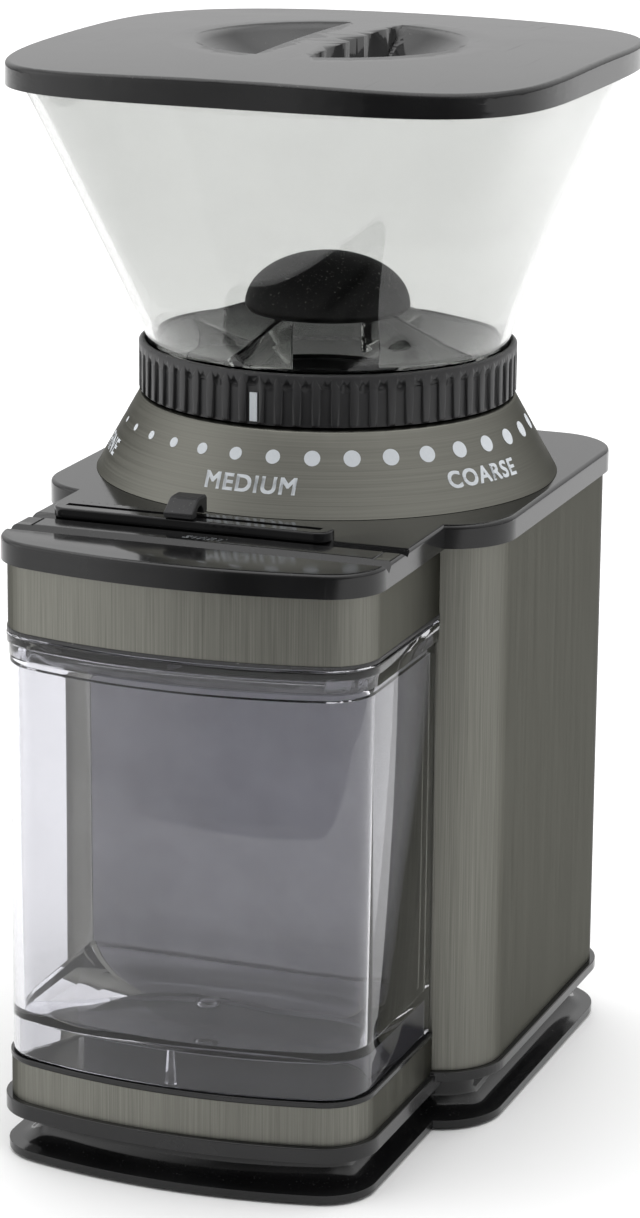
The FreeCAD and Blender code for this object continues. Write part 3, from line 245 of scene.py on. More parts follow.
def brushed_grain_group():
    """Fine parallel scratches along Z, or round the burr axis where Turned is 1."""
    group, start, end = new_group(
        "Brushed grain",
        [("Vector", "NodeSocketVector", None), ("Turned", "NodeSocketFloat", 0.0)],
        [("Grain", "NodeSocketFloat"), ("Cloud", "NodeSocketFloat")])
    split = node(group, "ShaderNodeSeparateXYZ")
    group.links.new(start.outputs["Vector"], split.inputs[0])
    x, y, z = split.outputs
    centred_y = math_node(group, "SUBTRACT", y, AXIS_Y)
    angle = math_node(group, "ARCTAN2", centred_y, x)
    along_turned = math_node(group, "MULTIPLY", angle, ROUND_THE_CONE)
    across_turned = math_node(group, "MULTIPLY", z, UP_THE_CONE)
    straight = node(group, "ShaderNodeCombineXYZ")
    for index, (axis, scale) in enumerate(((x, ACROSS_GRAIN), (y, ACROSS_GRAIN), (z, ALONG_GRAIN))):
        group.links.new(math_node(group, "MULTIPLY", axis, scale), straight.inputs[index])
    turned = node(group, "ShaderNodeCombineXYZ")
    group.links.new(across_turned, turned.inputs[0])
    group.links.new(along_turned, turned.inputs[1])
    choose = node(group, "ShaderNodeMix", data_type="VECTOR")
    group.links.new(start.outputs["Turned"], choose.inputs["Factor"])
    group.links.new(straight.outputs[0], choose.inputs[4])
    group.links.new(turned.outputs[0], choose.inputs[5])
    grain = noise_node(group, choose.outputs[1], 1.0, 4.0, 0.62)
    cloud = noise_node(group, start.outputs["Vector"], 22.0, 3.0, 0.55)
    group.links.new(spread(group, grain, 0.3, 0.7, 0.0, 1.0), end.inputs["Grain"])
    group.links.new(cloud, end.inputs["Cloud"])
    return group


def surface_wear_group():
    """Moulded skin, fine hairline scratches and settled dust, for plastics."""
    group, start, end = new_group(
        "Moulded surface",
        [("Vector", "NodeSocketVector", None), ("Texture size", "NodeSocketFloat", 900.0)],
        [("Texture", "NodeSocketFloat"), ("Scratches", "NodeSocketFloat"), ("Dust", "NodeSocketFloat"),
         ("Smudge", "NodeSocketFloat")])
    vector = start.outputs["Vector"]
    texture = noise_node(group, vector, start.outputs["Texture size"], 3.0, 0.6)
    turn = node(group, "ShaderNodeMapping")
    turn.inputs["Rotation"].default_value = (0.4, 0.7, 0.9)
    turn.inputs["Scale"].default_value = (900.0, 30.0, 45.0)
    group.links.new(vector, turn.inputs["Vector"])
    scratch = noise_node(group, turn.outputs["Vector"], 1.0, 2.0, 0.5)
    specks = noise_node(group, vector, 1500.0, 1.0, 0.5)
    geometry = node(group, "ShaderNodeNewGeometry")
    facing = node(group, "ShaderNodeSeparateXYZ")
    group.links.new(geometry.outputs["Normal"], facing.inputs[0])
    up = math_node(group, "MAXIMUM", facing.outputs[2], 0.0)
    dust = math_node(group, "MULTIPLY", spread(group, specks, 0.66, 0.78, 0.0, 1.0), up)
    smudge = noise_node(group, vector, 38.0, 4.0, 0.6)
    group.links.new(texture, end.inputs["Texture"])
    group.links.new(spread(group, scratch, 0.68, 0.74, 0.0, 1.0), end.inputs["Scratches"])
    group.links.new(dust, end.inputs["Dust"])
    group.links.new(spread(group, smudge, 0.35, 0.7, 0.0, 1.0), end.inputs["Smudge"])
    return group


def place_group(tree, name, maker):
    """A node that holds the named group, which is made the first time."""
    group = bpy.data.node_groups.get(name) or maker()
    made = tree.nodes.new("ShaderNodeGroup")
    made.node_tree = group
    return made


# ---------------------------------------------------------------------------
# materials
# ---------------------------------------------------------------------------
def start_material(name):
    """A cleared node material with its shader and the piece's own coordinates."""
    material = bpy.data.materials.new(name)
    material.use_nodes = True
    tree = material.node_tree
    tree.nodes.clear()
    output = tree.nodes.new("ShaderNodeOutputMaterial")
    shader = tree.nodes.new("ShaderNodeBsdfPrincipled")
    tree.links.new(shader.outputs[0], output.inputs["Surface"])
    place = tree.nodes.new("ShaderNodeTexCoord").outputs["Object"]
    return material, tree, shader, place


def mix_color(tree, factor, first, second):
    made = node(tree, "ShaderNodeMix", data_type="RGBA")
    tree.links.new(factor, made.inputs["Factor"])
    for index, value in ((6, first), (7, second)):
        if isinstance(value, (tuple, list)):
            made.inputs[index].default_value = (*value[:3], 1.0)
        else:
            tree.links.new(value, made.inputs[index])
    return made.outputs[2]


def add_bump(tree, shader, height, strength, distance):
    bump = node(tree, "ShaderNodeBump")
    bump.inputs["Strength"].default_value = strength
    bump.inputs["Distance"].default_value = distance
    tree.links.new(height, bump.inputs["Height"])
    tree.links.new(bump.outputs["Normal"], shader.inputs["Normal"])


def brushed_metal(name, color, roughness, turned=0.0, contrast=0.22, bump=0.12):
    material, tree, shader, place = start_material(name)
    grain = place_group(tree, "Brushed grain", brushed_grain_group)
    grain.inputs["Turned"].default_value = turned
    tree.links.new(place, grain.inputs["Vector"])
    dark = tuple(channel * (1 - contrast) for channel in color)
    light = tuple(channel * (1 + contrast) for channel in color)
    base = mix_color(tree, grain.outputs["Grain"], dark, light)
    tree.links.new(base, shader.inputs["Base Color"])
    mixed = math_node(tree, "MULTIPLY_ADD", grain.outputs["Cloud"], 0.08, roughness - 0.04)
    rough = math_node(tree, "MULTIPLY_ADD", grain.outputs["Grain"], 0.10, mixed)
    tree.links.new(rough, shader.inputs["Roughness"])
    shader.inputs["Metallic"].default_value = 1.0
    shader.inputs["Anisotropic"].default_value = 0.65
    shader.inputs["Specular Tint"].default_value = (0.35, 0.35, 0.35, 1.0)
    along = node(tree, "ShaderNodeTangent", direction_type="RADIAL", axis="Z")
    tree.links.new(along.outputs["Tangent"], shader.inputs["Tangent"])
    if turned < 1:
        shader.inputs["Anisotropic Rotation"].default_value = 0.25
    add_bump(tree, shader, grain.outputs["Grain"], bump, 0.05 * MM)
    return material


def moulded_plastic(name, color, roughness, texture=900.0, bump=0.06, dust=0.35):
    material, tree, shader, place = start_material(name)
    wear = place_group(tree, "Moulded surface", surface_wear_group)
    wear.inputs["Texture size"].default_value = texture
    tree.links.new(place, wear.inputs["Vector"])
    lifted = tuple(min(1.0, channel * 1.35 + 0.004) for channel in color)
    base = mix_color(tree, wear.outputs["Smudge"], color, lifted)
    dusty = math_node(tree, "MULTIPLY", wear.outputs["Dust"], dust)
    base = mix_color(tree, dusty, base, (0.42, 0.41, 0.39))
    tree.links.new(base, shader.inputs["Base Color"])
    level = math_node(tree, "MULTIPLY_ADD", wear.outputs["Smudge"], 0.06, roughness)
    level = math_node(tree, "MULTIPLY_ADD", wear.outputs["Scratches"], 0.08, level)
    tree.links.new(level, shader.inputs["Roughness"])
    shader.inputs["Specular IOR Level"].default_value = 0.38
    height = math_node(tree, "MULTIPLY_ADD", wear.outputs["Scratches"], -0.3, wear.outputs["Texture"])
    add_bump(tree, shader, height, bump, 0.08 * MM)
    return material


def clear_plastic(name, color, roughness=0.02, ior=1.46):
    material, tree, shader, place = start_material(name)
    wear = place_group(tree, "Moulded surface", surface_wear_group)
    wear.inputs["Texture size"].default_value = 120.0
    tree.links.new(place, wear.inputs["Vector"])
    tinted = tuple(channel * 0.97 for channel in color)
    tree.links.new(mix_color(tree, wear.outputs["Smudge"], color, tinted), shader.inputs["Base Color"])
    level = math_node(tree, "MULTIPLY_ADD", wear.outputs["Scratches"], 0.03, roughness)
    tree.links.new(level, shader.inputs["Roughness"])
    shader.inputs["Transmission Weight"].default_value = 1.0
    shader.inputs["IOR"].default_value = ior
    add_bump(tree, shader, wear.outputs["Smudge"], 0.02, 0.05 * MM)
    return material


def speckled(name, color, second, scale, roughness, metallic=0.0, bump=0.1):
    """A plain workshop finish: two tones of one colour broken up by grain."""
    material, tree, shader, place = start_material(name)
    fine = noise_node(tree, place, scale, 4.0, 0.6)
    tree.links.new(mix_color(tree, fine, color, second), shader.inputs["Base Color"])
    rough = spread(tree, fine, 0.3, 0.7, roughness - 0.06, roughness + 0.08)
    tree.links.new(rough, shader.inputs["Roughness"])
    shader.inputs["Metallic"].default_value = metallic
    add_bump(tree, shader, fine, bump, 0.05 * MM)
    return material


def banded(name, color, second, per_metre, roughness, metallic):
    """Stacked sheets or wound wire: fine bands up the piece."""
    material, tree, shader, place = start_material(name)
    wave = node(tree, "ShaderNodeTexWave", wave_type="BANDS", bands_direction="Z")
    wave.inputs["Scale"].default_value = per_metre / 20.0
    wave.inputs["Distortion"].default_value = 0.6
    tree.links.new(place, wave.inputs["Vector"])
    tree.links.new(mix_color(tree, wave.outputs["Fac"], color, second), shader.inputs["Base Color"])
    rough = spread(tree, wave.outputs["Fac"], 0, 1, roughness + 0.1, roughness - 0.05)
    tree.links.new(rough, shader.inputs["Roughness"])
    shader.inputs["Metallic"].default_value = metallic
    add_bump(tree, shader, wave.outputs["Fac"], 0.4, 0.15 * MM)
    return material


def make_finishes(casing, dial, clear):
    steel = tuple(casing.steel_color)
    black = tuple(casing.black_color)
    rough = casing.steel_roughness
    # liner is partly the charcoal plastic's own colour and partly painted light: its grey is lifted well
    # above charcoal so the chamber's back wall looks lit from the front
    liner, sheet = (0.46, 0.455, 0.475), (0.26, 0.26, 0.27)
    return {
        "brushed_gunmetal": brushed_metal("Brushed gunmetal", steel, rough),
        "turned_gunmetal": brushed_metal("Turned gunmetal", steel, rough - 0.02, 1.0, 0.16, 0.10),
        "gloss_black": moulded_plastic("Gloss black plastic", black, 0.09, 260.0, 0.02, 0.08),
        # the liner's light grey is painted light on the chamber's back wall, not the charcoal plastic's own
        # tone
        "liner_grey": moulded_plastic("Charcoal liner plastic", liner, 0.42, 1600.0, 0.01, 0.1),
        "satin_black": moulded_plastic("Satin black plastic", (0.022, 0.022, 0.023), 0.40, 1600.0, 0.12),
        "dome_black": moulded_plastic("Dusty dome plastic", (0.008, 0.008, 0.008), 0.62, 1400.0, 0.25, 0.9),
        "grey_plastic": moulded_plastic("Grey housing plastic", (0.10, 0.10, 0.105), 0.45, 1300.0, 0.15),
        "clear_plastic": clear_plastic("Clear hopper plastic", tuple(clear.hopper_tint)),
        "smoke_plastic": clear_plastic("Smoky chamber plastic", tuple(clear.chamber_tint)),
        "rubber_black": speckled("Moulded rubber", (0.012, 0.012, 0.012), (0.03, 0.03, 0.03), 1800.0, 0.75),
        "zinc_screw": speckled("Zinc plating", (0.55, 0.56, 0.55), (0.40, 0.41, 0.42), 700.0, 0.34, 1.0),
        "spring_steel": speckled("Drawn wire", (0.50, 0.50, 0.51), (0.33, 0.33, 0.34), 900.0, 0.28, 1.0),
        "burr_steel": brushed_metal("Ground burr steel", (0.46, 0.46, 0.47), 0.26, 1.0, 0.2, 0.2),
        "white_ink": speckled("Printed ink", tuple(dial.ink_color), (0.72, 0.75, 0.78), 1500.0, 0.5),
        "board_green": speckled("Solder mask", (0.01, 0.09, 0.03), (0.015, 0.13, 0.05), 500.0, 0.3),
        "copper": banded("Enamelled winding", (0.45, 0.16, 0.06), (0.25, 0.07, 0.02), 2600.0, 0.32, 1.0),
        "laminations": banded("Stacked laminations", sheet, (0.12, 0.12, 0.13), 2000.0, 0.42, 1.0),
        "frame_alloy": speckled("Die-cast alloy", (0.42, 0.42, 0.43), (0.32, 0.32, 0.33), 800.0, 0.46, 1.0),
        "carbon": speckled("Pressed carbon", (0.02, 0.02, 0.021), (0.045, 0.045, 0.048), 1500.0, 0.55),
        "motor_nylon": moulded_plastic("Moulded nylon", (0.62, 0.60, 0.55), 0.48, 1200.0, 0.1, 0.2),
    }


FINISHES = {}


def slot_of(node_name):
    for entry in frame["record"]["subparts"]:
        if entry["node"] == node_name:
            return entry["material_slot"]
    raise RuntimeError("no slot for " + node_name)


def give_finish(piece, finish):
    piece.data.materials.clear()
    piece.data.materials.append(FINISHES[finish])


# ---------------------------------------------------------------------------
# mesh helpers
# ---------------------------------------------------------------------------
def object_from(bm, name, crease=None):
    mesh = bpy.data.meshes.new(name)
    bm.to_mesh(mesh)
    bm.free()
    piece = bpy.data.objects.new(name, mesh)
    bpy.context.scene.collection.objects.link(piece)
    for face in mesh.polygons:
        face.use_smooth = True
    if crease is not None:
        mesh.set_sharp_from_angle(angle=crease)
    return piece


def settle(piece, body, finish, replaced=()):
    """Gives a new piece its finish, its body and the CAD nodes it stands for."""
    give_finish(piece, finish)
    if replaced:
        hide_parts(*replaced)
    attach(piece, body)
    return piece


def body_of(node_name):
    for body, members in frame["record"]["behaviour"]["bodies"].items():
        if node_name in members:
            return body
    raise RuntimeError("no body for " + node_name)


def refined(node_name, name, finish, crease=32, edge=0.0, segments=2):
    """A welded, smooth copy of a CAD node with softened edges."""
    bm = bmesh.new()
    bm.from_mesh(frame["nodes"][node_name].data)
    bmesh.ops.remove_doubles(bm, verts=bm.verts, dist=3e-6)
    if edge > 0:
        bmesh.ops.dissolve_limit(bm, angle_limit=FLAT_ANGLE, use_dissolve_boundaries=False,
                                 verts=bm.verts, edges=bm.edges, delimit={"NORMAL"})
    piece = object_from(bm, name, math.radians(crease))
    if edge > 0:
        rounding = piece.modifiers.new("Edge rounding", "BEVEL")
        rounding.width = edge
        rounding.segments = segments
        rounding.limit_method = "ANGLE"
        rounding.angle_limit = math.radians(40)
        rounding.use_clamp_overlap = True
        rounding.harden_normals = True
    weigh = piece.modifiers.new("Face weighting", "WEIGHTED_NORMAL")
    weigh.keep_sharp = True
    return settle(piece, body_of(node_name), finish, (node_name,))


def ring(bm, z, half, exponent):
    """One closed loop about the burr axis; exponent 2 is round, larger is squarer."""
    made = bmesh.ops.create_circle(bm, segments=TUB_SEGMENTS, radius=1.0, cap_ends=False)
    for vertex in made["verts"]:
        angle = math.atan2(vertex.co.y, vertex.co.x)
        span = abs(math.cos(angle)) ** exponent + abs(math.sin(angle)) ** exponent
        reach = half / span ** (1.0 / exponent)
        vertex.co = Vector((reach * math.cos(angle), AXIS_Y + reach * math.sin(angle), z))
    edges = dict.fromkeys(edge for vertex in made["verts"] for edge in vertex.link_edges)
    return made["verts"], list(edges)


def loft(bm, rings):
    for (_, first), (_, second) in zip(rings, rings[1:]):
        bmesh.ops.bridge_loops(bm, edges=first + second)


def text_mesh(word, height, thick, slant=0.0, spacing=1.12, weight=0.035):
    """Flat printed letters as closed meshes, centred, x across and y up.

    Four copies, each shifted towards a corner, make the strokes bold.
    """
    curve = bpy.data.curves.new("letters_" + word, "FONT")
    curve.body = word
    curve.size = height * 1.42
    curve.shear = slant
    curve.space_character = spacing
    curve.align_x = "CENTER"
    curve.align_y = "CENTER"
    curve.extrude = thick
    holder = bpy.data.objects.new("letters_" + word, curve)
    bpy.context.scene.collection.objects.link(holder)
    graph = bpy.context.evaluated_depsgraph_get()
    mesh = bpy.data.meshes.new_from_object(holder.evaluated_get(graph))
    bm = bmesh.new()
    bm.from_mesh(mesh)
    bmesh.ops.remove_doubles(bm, verts=bm.verts, dist=1e-6)
    stroke = height * weight
    drawn = bm.verts[:] + bm.edges[:] + bm.faces[:]
    for across, up in BOLD_CORNERS:
        copied = bmesh.ops.duplicate(bm, geom=drawn)["geom"]
        corners = [item for item in copied if isinstance(item, bmesh.types.BMVert)]
        bmesh.ops.translate(bm, verts=corners, vec=(stroke * across, stroke * up, 0))
    first = [item for item in drawn if isinstance(item, bmesh.types.BMVert)]
    bmesh.ops.translate(bm, verts=first, vec=(stroke, stroke, 0))
    bpy.data.objects.remove(holder)
    bpy.data.meshes.remove(mesh)
    return bm


# ---------------------------------------------------------------------------
# hopper
# ---------------------------------------------------------------------------
def hopper_tub():
    """A thin clear tub: round stem, straight sides flaring to a rounded square, upright lip."""
    lip_half = (HOPPER_HIGH.x - HOPPER_LOW.x) / 2
    flare, lip = HOPPER_LOW.z + STEM_TOP, HOPPER_HIGH.z - LIP_DEPTH
    bm = bmesh.new()
    low = ring(bm, flare, HOPPER_FOOT, ROUND)
    high = ring(bm, lip, lip_half, ROUNDED_SQUARE)
    rings = [ring(bm, HOPPER_LOW.z + STEM_BASE, HOPPER_FOOT, ROUND), low]
    for step in range(1, FLARE_STEPS):
        between = ring(bm, flare, HOPPER_FOOT, ROUND)
        for vertex, first, last in zip(between[0], low[0], high[0]):
            vertex.co = first.co.lerp(last.co, step / FLARE_STEPS)
        rings.append(between)
    rings += [high, ring(bm, HOPPER_HIGH.z, lip_half, ROUNDED_SQUARE)]
    loft(bm, rings)
    bmesh.ops.recalc_face_normals(bm, faces=bm.faces)
    bmesh.ops.solidify(bm, geom=bm.faces[:], thickness=HOPPER_WALL)
    tub = object_from(bm, "clear_hopper", math.radians(40))
    settle(tub, "hopper", "clear_plastic", ("hopper",))


def hopper_floor():
    """The funnel that feeds the burrs and the four ribs that carry the dome."""
    reach = HOPPER_FOOT - HOPPER_WALL - 0.05 * MM
    base = HOPPER_LOW.z
    outer_throat = THROAT_RADIUS + 2 * MM
    profile = [(reach, 10.0), (reach, 12.0), (THROAT_RADIUS + 2.6 * MM, 5.4), (THROAT_RADIUS, 4.8),
               (THROAT_RADIUS, 0.0), (outer_throat, 0.0), (outer_throat, 3.4)]
    bm = bmesh.new()
    corners = [bm.verts.new((radius, AXIS_Y, base + rise * MM)) for radius, rise in profile]
    edges = [bm.edges.new((first, last)) for first, last in zip(corners, corners[1:] + corners[:1])]
    bmesh.ops.spin(bm, geom=corners + edges, cent=AXIS, axis=(0, 0, 1), angle=2 * math.pi, steps=96,
                   use_merge=True, use_duplicate=False)
    bmesh.ops.remove_doubles(bm, verts=bm.verts, dist=1e-6)
    bmesh.ops.recalc_face_normals(bm, faces=bm.faces)
    funnel = object_from(bm, "hopper_funnel", math.radians(35))
    settle(funnel, "hopper", "clear_plastic")
    for index in range(RIB_COUNT):
        dome_rib(index, reach - 1.5 * MM)


def dome_rib(index, far):
    """A clear rib from the funnel up to the dome, lower at its outer end."""
    base = HOPPER_LOW.z
    low, high, near = base + 6.5 * MM, DOME_BASE + 2.0 * MM, 16.5 * MM
    middle_x, middle_z = (far + near) / 2, (low + high) / 2
    bm = bmesh.new()
    bmesh.ops.create_cube(bm, size=1.0)
    bmesh.ops.scale(bm, verts=bm.verts, vec=(far - near, RIB_THICKNESS, high - low))
    bmesh.ops.translate(bm, verts=bm.verts, vec=(middle_x, 0, middle_z))
    for vertex in bm.verts:
        if vertex.co.x > middle_x:
            vertex.co.z = base + (12.6 if vertex.co.z > middle_z else 11.0) * MM
    bmesh.ops.bevel(bm, geom=bm.edges[:], offset=0.35 * MM, segments=2, profile=0.5, affect="EDGES",
                    material=-1)
    turn = Matrix.Rotation(RIB_ANGLE + index * 2 * math.pi / RIB_COUNT, 3, "Z")
    bmesh.ops.rotate(bm, verts=bm.verts, matrix=turn)
    bmesh.ops.translate(bm, verts=bm.verts, vec=AXIS)
    bmesh.ops.recalc_face_normals(bm, faces=bm.faces)
    rib = object_from(bm, "dome_rib_" + str(index + 1), math.radians(40))
    settle(rib, "hopper", "clear_plastic")


# ---------------------------------------------------------------------------
# grounds chamber
# ---------------------------------------------------------------------------
def bay_outline(half, front):
    """The chamber's plan: straight sides, round front corners and a front that bows out."""
    corner = CHAMBER_CORNER - (CHAMBER_HIGH.x - half)
    bow_radius = (half ** 2 + HEAD_BOW ** 2) / (2 * HEAD_BOW)
    bow_centre = front + bow_radius
    corner_x = half - corner
    corner_y = bow_centre - math.sqrt((bow_radius - corner) ** 2 - corner_x ** 2)
    turn = math.atan2(corner_y - bow_centre, corner_x)
    places = []
    for step in range(CORNER_STEPS + 1):
        angle = turn * step / CORNER_STEPS
        places.append((corner_x + corner * math.cos(angle), corner_y + corner * math.sin(angle)))
    for step in range(1, FRONT_STEPS):
        angle = turn + (-math.pi - 2 * turn) * step / FRONT_STEPS
        places.append((bow_radius * math.cos(angle), bow_centre + bow_radius * math.sin(angle)))
    mirrored = [(-x, y) for x, y in places[:CORNER_STEPS + 1]]
    return places + mirrored[::-1]


def bay_stack(levels):
    """A closed skin through (inset, height) outlines of the chamber, filled at both ends."""
    plans = []
    for inset, height in levels:
        half, back = CHAMBER_HIGH.x - inset, CHAMBER_HIGH.y - inset
        plan = [(half, back)] + bay_outline(half, CHAMBER_LOW.y + inset) + [(-half, back), (half, back)]
        plans.append([(x, y, height) for x, y in plan])
    columns, rows = len(plans[0]) - 1, len(plans) - 1
    bm = bmesh.new()
    bmesh.ops.create_grid(bm, x_segments=columns, y_segments=rows, size=1.0)
    for vertex in bm.verts:
        column = round((vertex.co.x + 1) / 2 * columns)
        row = round((vertex.co.y + 1) / 2 * rows)
        vertex.co = plans[row][column]
    bmesh.ops.remove_doubles(bm, verts=bm.verts, dist=1e-6)
    bmesh.ops.holes_fill(bm, edges=[edge for edge in bm.edges if edge.is_boundary], sides=0)
    bmesh.ops.recalc_face_normals(bm, faces=bm.faces)
    return bm


def soften(bm, offset, angle):
    """Rounds every edge that turns more than the angle."""
    edges = [edge for edge in bm.edges if edge.is_manifold and edge.calc_face_angle() > angle]
    bmesh.ops.bevel(bm, geom=edges, offset=offset, segments=2, profile=0.5, affect="EDGES", material=-1,
                    clamp_overlap=True)


def chamber_bin():
    """The smoky bin: walls, a raised floor with a skirt below it, and a neck for the lid."""
    base, top, wall = CHAMBER_LOW.z, CHAMBER_HIGH.z, CHAMBER_WALL
    shoulder, neck, mouth = top - 3.2 * MM, 1.7 * MM, 3.7 * MM
    under_neck = shoulder - 2.5 * MM
    levels = [(wall, FLOOR_UNDERSIDE), (wall, base), (0, base), (0, shoulder), (neck, shoulder), (neck, top),
              (mouth, top), (mouth, under_neck), (wall, under_neck), (wall, FLOOR_TOP)]
    bm = bay_stack(levels)
    soften(bm, 0.3 * MM, math.radians(35))
    chamber = object_from(bm, "grounds_bin", math.radians(40))
    settle(chamber, "chamber", "smoke_plastic", ("grounds_chamber",))


def chamber_marks():
    """The moulding gate on the bin's floor and the tab inside the middle of its skirt."""
    middle = Vector((0, (CHAMBER_LOW.y + CHAMBER_HIGH.y) / 2 - 2 * MM, FLOOR_TOP))
    bm = bmesh.new()
    seed = bmesh.ops.create_circle(bm, segments=10, radius=0.55 * MM, cap_ends=False)["verts"]
    bmesh.ops.rotate(bm, verts=seed, matrix=Matrix.Rotation(math.pi / 2, 3, "X"))
    bmesh.ops.translate(bm, verts=seed, vec=middle + Vector((2.6 * MM, 0, 0.35 * MM)))
    bmesh.ops.spin(bm, geom=bm.verts[:] + bm.edges[:], cent=middle, axis=(0, 0, 1), angle=2 * math.pi,
                   steps=32, use_merge=True)
    bmesh.ops.recalc_face_normals(bm, faces=bm.faces)
    gate = object_from(bm, "bin_gate_mark", math.radians(60))
    settle(gate, "chamber", "smoke_plastic")
    bm = bmesh.new()
    bmesh.ops.create_cone(bm, cap_ends=True, segments=4, radius1=1.6 * MM, radius2=0.9 * MM, depth=9.0 * MM)
    bmesh.ops.translate(bm, verts=bm.verts, vec=(0, CHAMBER_LOW.y + 4.3 * MM, CHAMBER_LOW.z + 4.8 * MM))
    tab = object_from(bm, "bin_front_tab", math.radians(30))
    settle(tab, "chamber", "smoke_plastic")


# ---------------------------------------------------------------------------
# studio
# ---------------------------------------------------------------------------
def make_floor():
    """A pale sheet that ends a little in front of the object and runs far behind it."""
    bm = bmesh.new()
    bmesh.ops.create_grid(bm, x_segments=1, y_segments=1, size=1.0)
    bmesh.ops.scale(bm, verts=bm.verts, vec=FLOOR_HALF)
    bmesh.ops.translate(bm, verts=bm.verts, vec=FLOOR_MIDDLE)
    floor = object_from(bm, "floor")
    material, tree, shader, place = start_material("Pale floor")
    soft = noise_node(tree, place, 6.0, 2.0, 0.5)
    tree.links.new(mix_color(tree, soft, (0.88, 0.88, 0.88), (0.90, 0.90, 0.90)), shader.inputs["Base Color"])
    shader.inputs["Roughness"].default_value = 0.55
    shader.inputs["Specular IOR Level"].default_value = 0.2
    floor.data.materials.append(material)


def make_lights():
    """A white surround: darker in front and below, brighter overhead and from the front left."""
    world = bpy.data.worlds.new("Studio surround")
    bpy.context.scene.world = world
    world.use_nodes = True
    tree = world.node_tree
    backdrop = tree.nodes["Background"]
    direction = tree.nodes.new("ShaderNodeTexCoord").outputs["Generated"]
    heading = node(tree, "ShaderNodeSeparateXYZ")
    tree.links.new(direction, heading.inputs[0])
    height = spread(tree, heading.outputs["Z"], -0.10, 0.40, 0.36, 1.10)
    open_room = spread(tree, heading.outputs["Y"], -0.85, -0.30, 0.20, 1.0)
    overhead = spread(tree, heading.outputs["Z"], 0.66, 0.92, 0.0, 1.5)
    room = math_node(tree, "MULTIPLY", height, open_room)
    facing = node(tree, "ShaderNodeVectorMath", operation="DOT_PRODUCT")
    tree.links.new(direction, facing.inputs[0])
    facing.inputs[1].default_value = FRONT_LEFT
    side_glow = spread(tree, facing.outputs["Value"], 0.70, 0.96, 0.0, 1.2)
    glow = math_node(tree, "ADD", math_node(tree, "ADD", room, side_glow), overhead)
    ray = tree.nodes.new("ShaderNodeLightPath").outputs
    seen = math_node(tree, "MAXIMUM", ray["Is Camera Ray"], ray["Is Transmission Ray"])
    strength = node(tree, "ShaderNodeMix", data_type="FLOAT")
    tree.links.new(seen, strength.inputs["Factor"])
    tree.links.new(glow, strength.inputs["A"])
    strength.inputs["B"].default_value = 1.0
    tree.links.new(strength.outputs["Result"], backdrop.inputs["Strength"])
    backdrop.inputs["Color"].default_value = (1.0, 1.0, 1.0, 1.0)
    bpy.context.scene.view_settings.view_transform = "Standard"


def make_camera(settings):
    azimuth, elevation = settings.azimuth, settings.elevation
    back = Vector((math.sin(azimuth) * math.cos(elevation), -math.cos(azimuth) * math.cos(elevation),
                   math.sin(elevation)))
    right = Vector((math.cos(azimuth), math.sin(azimuth), 0))
    up = back.cross(right)
    place = AXIS + right * settings.aim_side + Vector((0, 0, settings.aim_height)) + back * settings.distance
    cos_roll, sin_roll = math.cos(settings.roll), math.sin(settings.roll)
    leaned_right = right * cos_roll + up * sin_roll
    leaned_up = up * cos_roll - right * sin_roll
    data = bpy.data.cameras.new("studio_camera")
    data.lens = settings.lens
    data.sensor_width = SENSOR_WIDTH
    camera = bpy.data.objects.new("studio_camera", data)
    bpy.context.scene.collection.objects.link(camera)
    turned = Matrix((leaned_right, leaned_up, back)).transposed()
    camera.matrix_world = Matrix.Translation(place) @ turned.to_4x4()
    bpy.context.scene.camera = camera


# ---------------------------------------------------------------------------
# operators: one for each piece or group of pieces
# ---------------------------------------------------------------------------
class GRINDER_OT_finishes(bpy.types.Operator):
    """Build the materials and put one on every CAD node"""
    bl_idname = "grinder.finishes"
    bl_label = "Finishes"

    def execute(self, context):
        scene = context.scene
        FINISHES.update(make_finishes(scene.grinder_casing, scene.grinder_dial, scene.grinder_clear))
        for name, piece in frame["nodes"].items():
            give_finish(piece, slot_of(name))
        return {"FINISHED"}


class GRINDER_OT_casing(bpy.types.Operator):
    """Smooth steel skins, and a soft-edged cover, skirt and foot"""
    bl_idname = "grinder.casing"
    bl_label = "Casing"

    def execute(self, context):
        edge = context.scene.grinder_casing.edge_radius
        refined("steel_wrap", "column_skin", "brushed_gunmetal", 30)
        refined("head_panel", "head_skin", "brushed_gunmetal", 30)
        refined("base_band", "base_skin", "brushed_gunmetal", 30)
        refined("top_cover", "deck_cover", "gloss_black", 32, edge)
        refined("base_tray", "skirt_tray", "gloss_black", 32, edge)
        refined("foot_plate", "foot_base", "gloss_black", 38, edge)
        refined("head_shell", "head_carrier", "satin_black", 32)
        refined("column_shell", "column_liner", "liner_grey", 32)
        refined("cord_gland", "cord_inlet", "rubber_black", 32)
        refined("rubber_feet", "feet", "rubber_black", 32)
        return {"FINISHED"}


